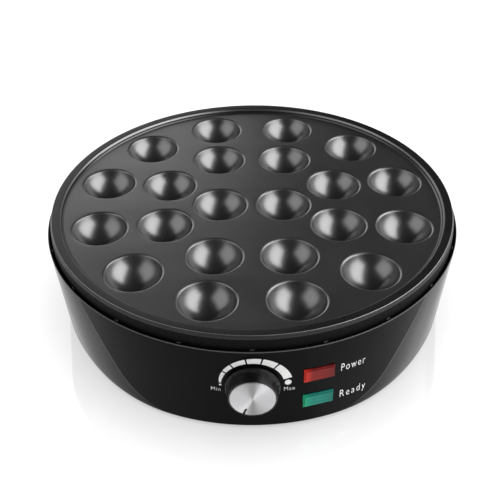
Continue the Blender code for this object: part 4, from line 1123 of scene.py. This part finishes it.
def build_floor():
    """Pale polished floor: white to the eye, with the object's shadows, a painted contact shadow round its
    foot and a faint mirror image.
    """
    half = floor_half
    mesh = bpy.data.meshes.new("floor")
    corners = [(-half, -half, 0), (half, -half, 0), (half, half, 0), (-half, half, 0)]
    mesh.from_pydata(corners, [], [(0, 1, 2, 3)])
    floor = put_object("floor", mesh)
    floor.location.z = -floor_sink
    made, tree, shader = material("floor", (floor_colour, floor_colour, floor_colour), 0.5)
    mesh.materials.append(made)
    glow = tree.nodes.new("ShaderNodeEmission")
    # Ambient occlusion dims the glow round the object's foot: a painted contact shadow
    painted_contact_shadow = tree.nodes.new("ShaderNodeAmbientOcclusion")
    painted_contact_shadow.inputs["Distance"].default_value = painted_shadow_reach
    glow_with_painted_shadow = ramp(tree, painted_contact_shadow.outputs["AO"], floor_glow * (1 - painted_shadow_share), floor_glow, 0.0, 1.0)
    tree.links.new(glow_with_painted_shadow, glow.inputs["Strength"])
    shaded = tree.nodes.new("ShaderNodeBsdfDiffuse")
    shaded.inputs["Color"].default_value = (floor_shade, floor_shade, floor_shade, 1)
    both = tree.nodes.new("ShaderNodeAddShader")
    tree.links.new(glow.outputs["Emission"], both.inputs[0])
    tree.links.new(shaded.outputs["BSDF"], both.inputs[1])
    mirror = tree.nodes.new("ShaderNodeBsdfGlossy")
    mirror.inputs["Roughness"].default_value = floor_mirror_roughness
    polished = tree.nodes.new("ShaderNodeMixShader")
    polished.inputs["Fac"].default_value = floor_mirror
    tree.links.new(both.outputs["Shader"], polished.inputs[1])
    tree.links.new(mirror.outputs["BSDF"], polished.inputs[2])
    pick = tree.nodes.new("ShaderNodeMixShader")
    tree.links.new(seen_rays(tree), pick.inputs["Fac"])
    tree.links.new(shader.outputs["BSDF"], pick.inputs[1])
    tree.links.new(polished.outputs["Shader"], pick.inputs[2])
    tree.links.new(pick.outputs["Shader"], tree.nodes["Material Output"].inputs["Surface"])
    return floor


def build_world():
    """A room that is pale round the horizon at the back and dark in front and overhead."""
    world = bpy.data.worlds.new("studio")
    bpy.context.scene.world = world
    world.use_nodes = True
    tree = world.node_tree
    way = tree.nodes.new("ShaderNodeTexCoord")
    split = tree.nodes.new("ShaderNodeSeparateXYZ")
    tree.links.new(way.outputs["Generated"], split.inputs["Vector"])
    low = ramp(tree, split.outputs["Y"], world_front, world_back, world_front_end, world_back_start)
    share = ramp(tree, split.outputs["Z"], 1.0, 0.0, world_low_end, world_high_start)
    level = tree.nodes.new("ShaderNodeMath")
    level.operation = "MULTIPLY_ADD"
    tree.links.new(low, level.inputs[0])
    tree.links.new(share, level.inputs[1])
    level.inputs[2].default_value = world_high
    tree.links.new(level.outputs["Value"], tree.nodes["Background"].inputs["Strength"])
    tree.nodes["Background"].inputs["Color"].default_value = (1, 1, 1, 1)


def soft_box(name, place, aim, width, height, radiance):
    """A rectangular lamp at a place, turned to its aim, of an even brightness."""
    lamp = bpy.data.lights.new(name, "AREA")
    lamp.shape = "RECTANGLE"
    lamp.size = width
    lamp.size_y = height
    lamp.energy = radiance * math.pi * width * height
    holder = put_object(name, lamp)
    holder.location = place
    holder.rotation_euler = (Vector(aim) - Vector(place)).to_track_quat("-Z", "Y").to_euler()
    holder.visible_camera = False
    return holder


def build_ceiling(floor):
    """A white ceiling that only the floor's polish shows, so the object's mirror image stands out."""
    ceiling = soft_box("ceiling", (0, 0, ceiling_height), (0, 0, 0), ceiling_side, ceiling_side, 1.0)
    ceiling.data.diffuse_factor = 0.0
    receivers = bpy.data.collections.new("ceiling_receivers")
    receivers.objects.link(floor)
    ceiling.light_linking.receiver_collection = receivers


build_world()
build_ceiling(build_floor())
soft_box("right_box", (0.95, -0.36, 0.64), (0, -0.36, 0.06), width=1.80, height=1.16, radiance=3.0)
soft_box("left_box", (-0.87, -0.32, 0.66), (0, 0, 0.06), width=1.30, height=1.00, radiance=1.0)
soft_box("back_box", (-0.86, 1.67, 0.70), (0, 0, 0.06), width=1.70, height=1.15, radiance=0.95)

# Camera, solved from the rings of cups; its place and aim are in radii of the outer ring
camera_data = bpy.data.cameras.new("camera")
camera_data.lens = 65.675
camera_data.sensor_width = 36.0
camera = put_object("camera", camera_data)
bpy.context.scene.camera = camera
stand = around(0, 0)
camera_place = stand + Vector((0.01724, -4.93815, 3.40000)) * outer_ring
camera_aim = stand + Vector((-0.01222, -0.49631, 0.0)) * outer_ring
camera_roll = math.radians(-0.623)
look = (camera_aim - camera_place).to_track_quat("-Z", "Y").to_matrix()
camera.location = camera_place
camera.rotation_mode = "QUATERNION"
camera.rotation_quaternion = (look @ Matrix.Rotation(camera_roll, 3, "Z")).to_quaternion()

bpy.context.scene.view_settings.view_transform = "Standard"
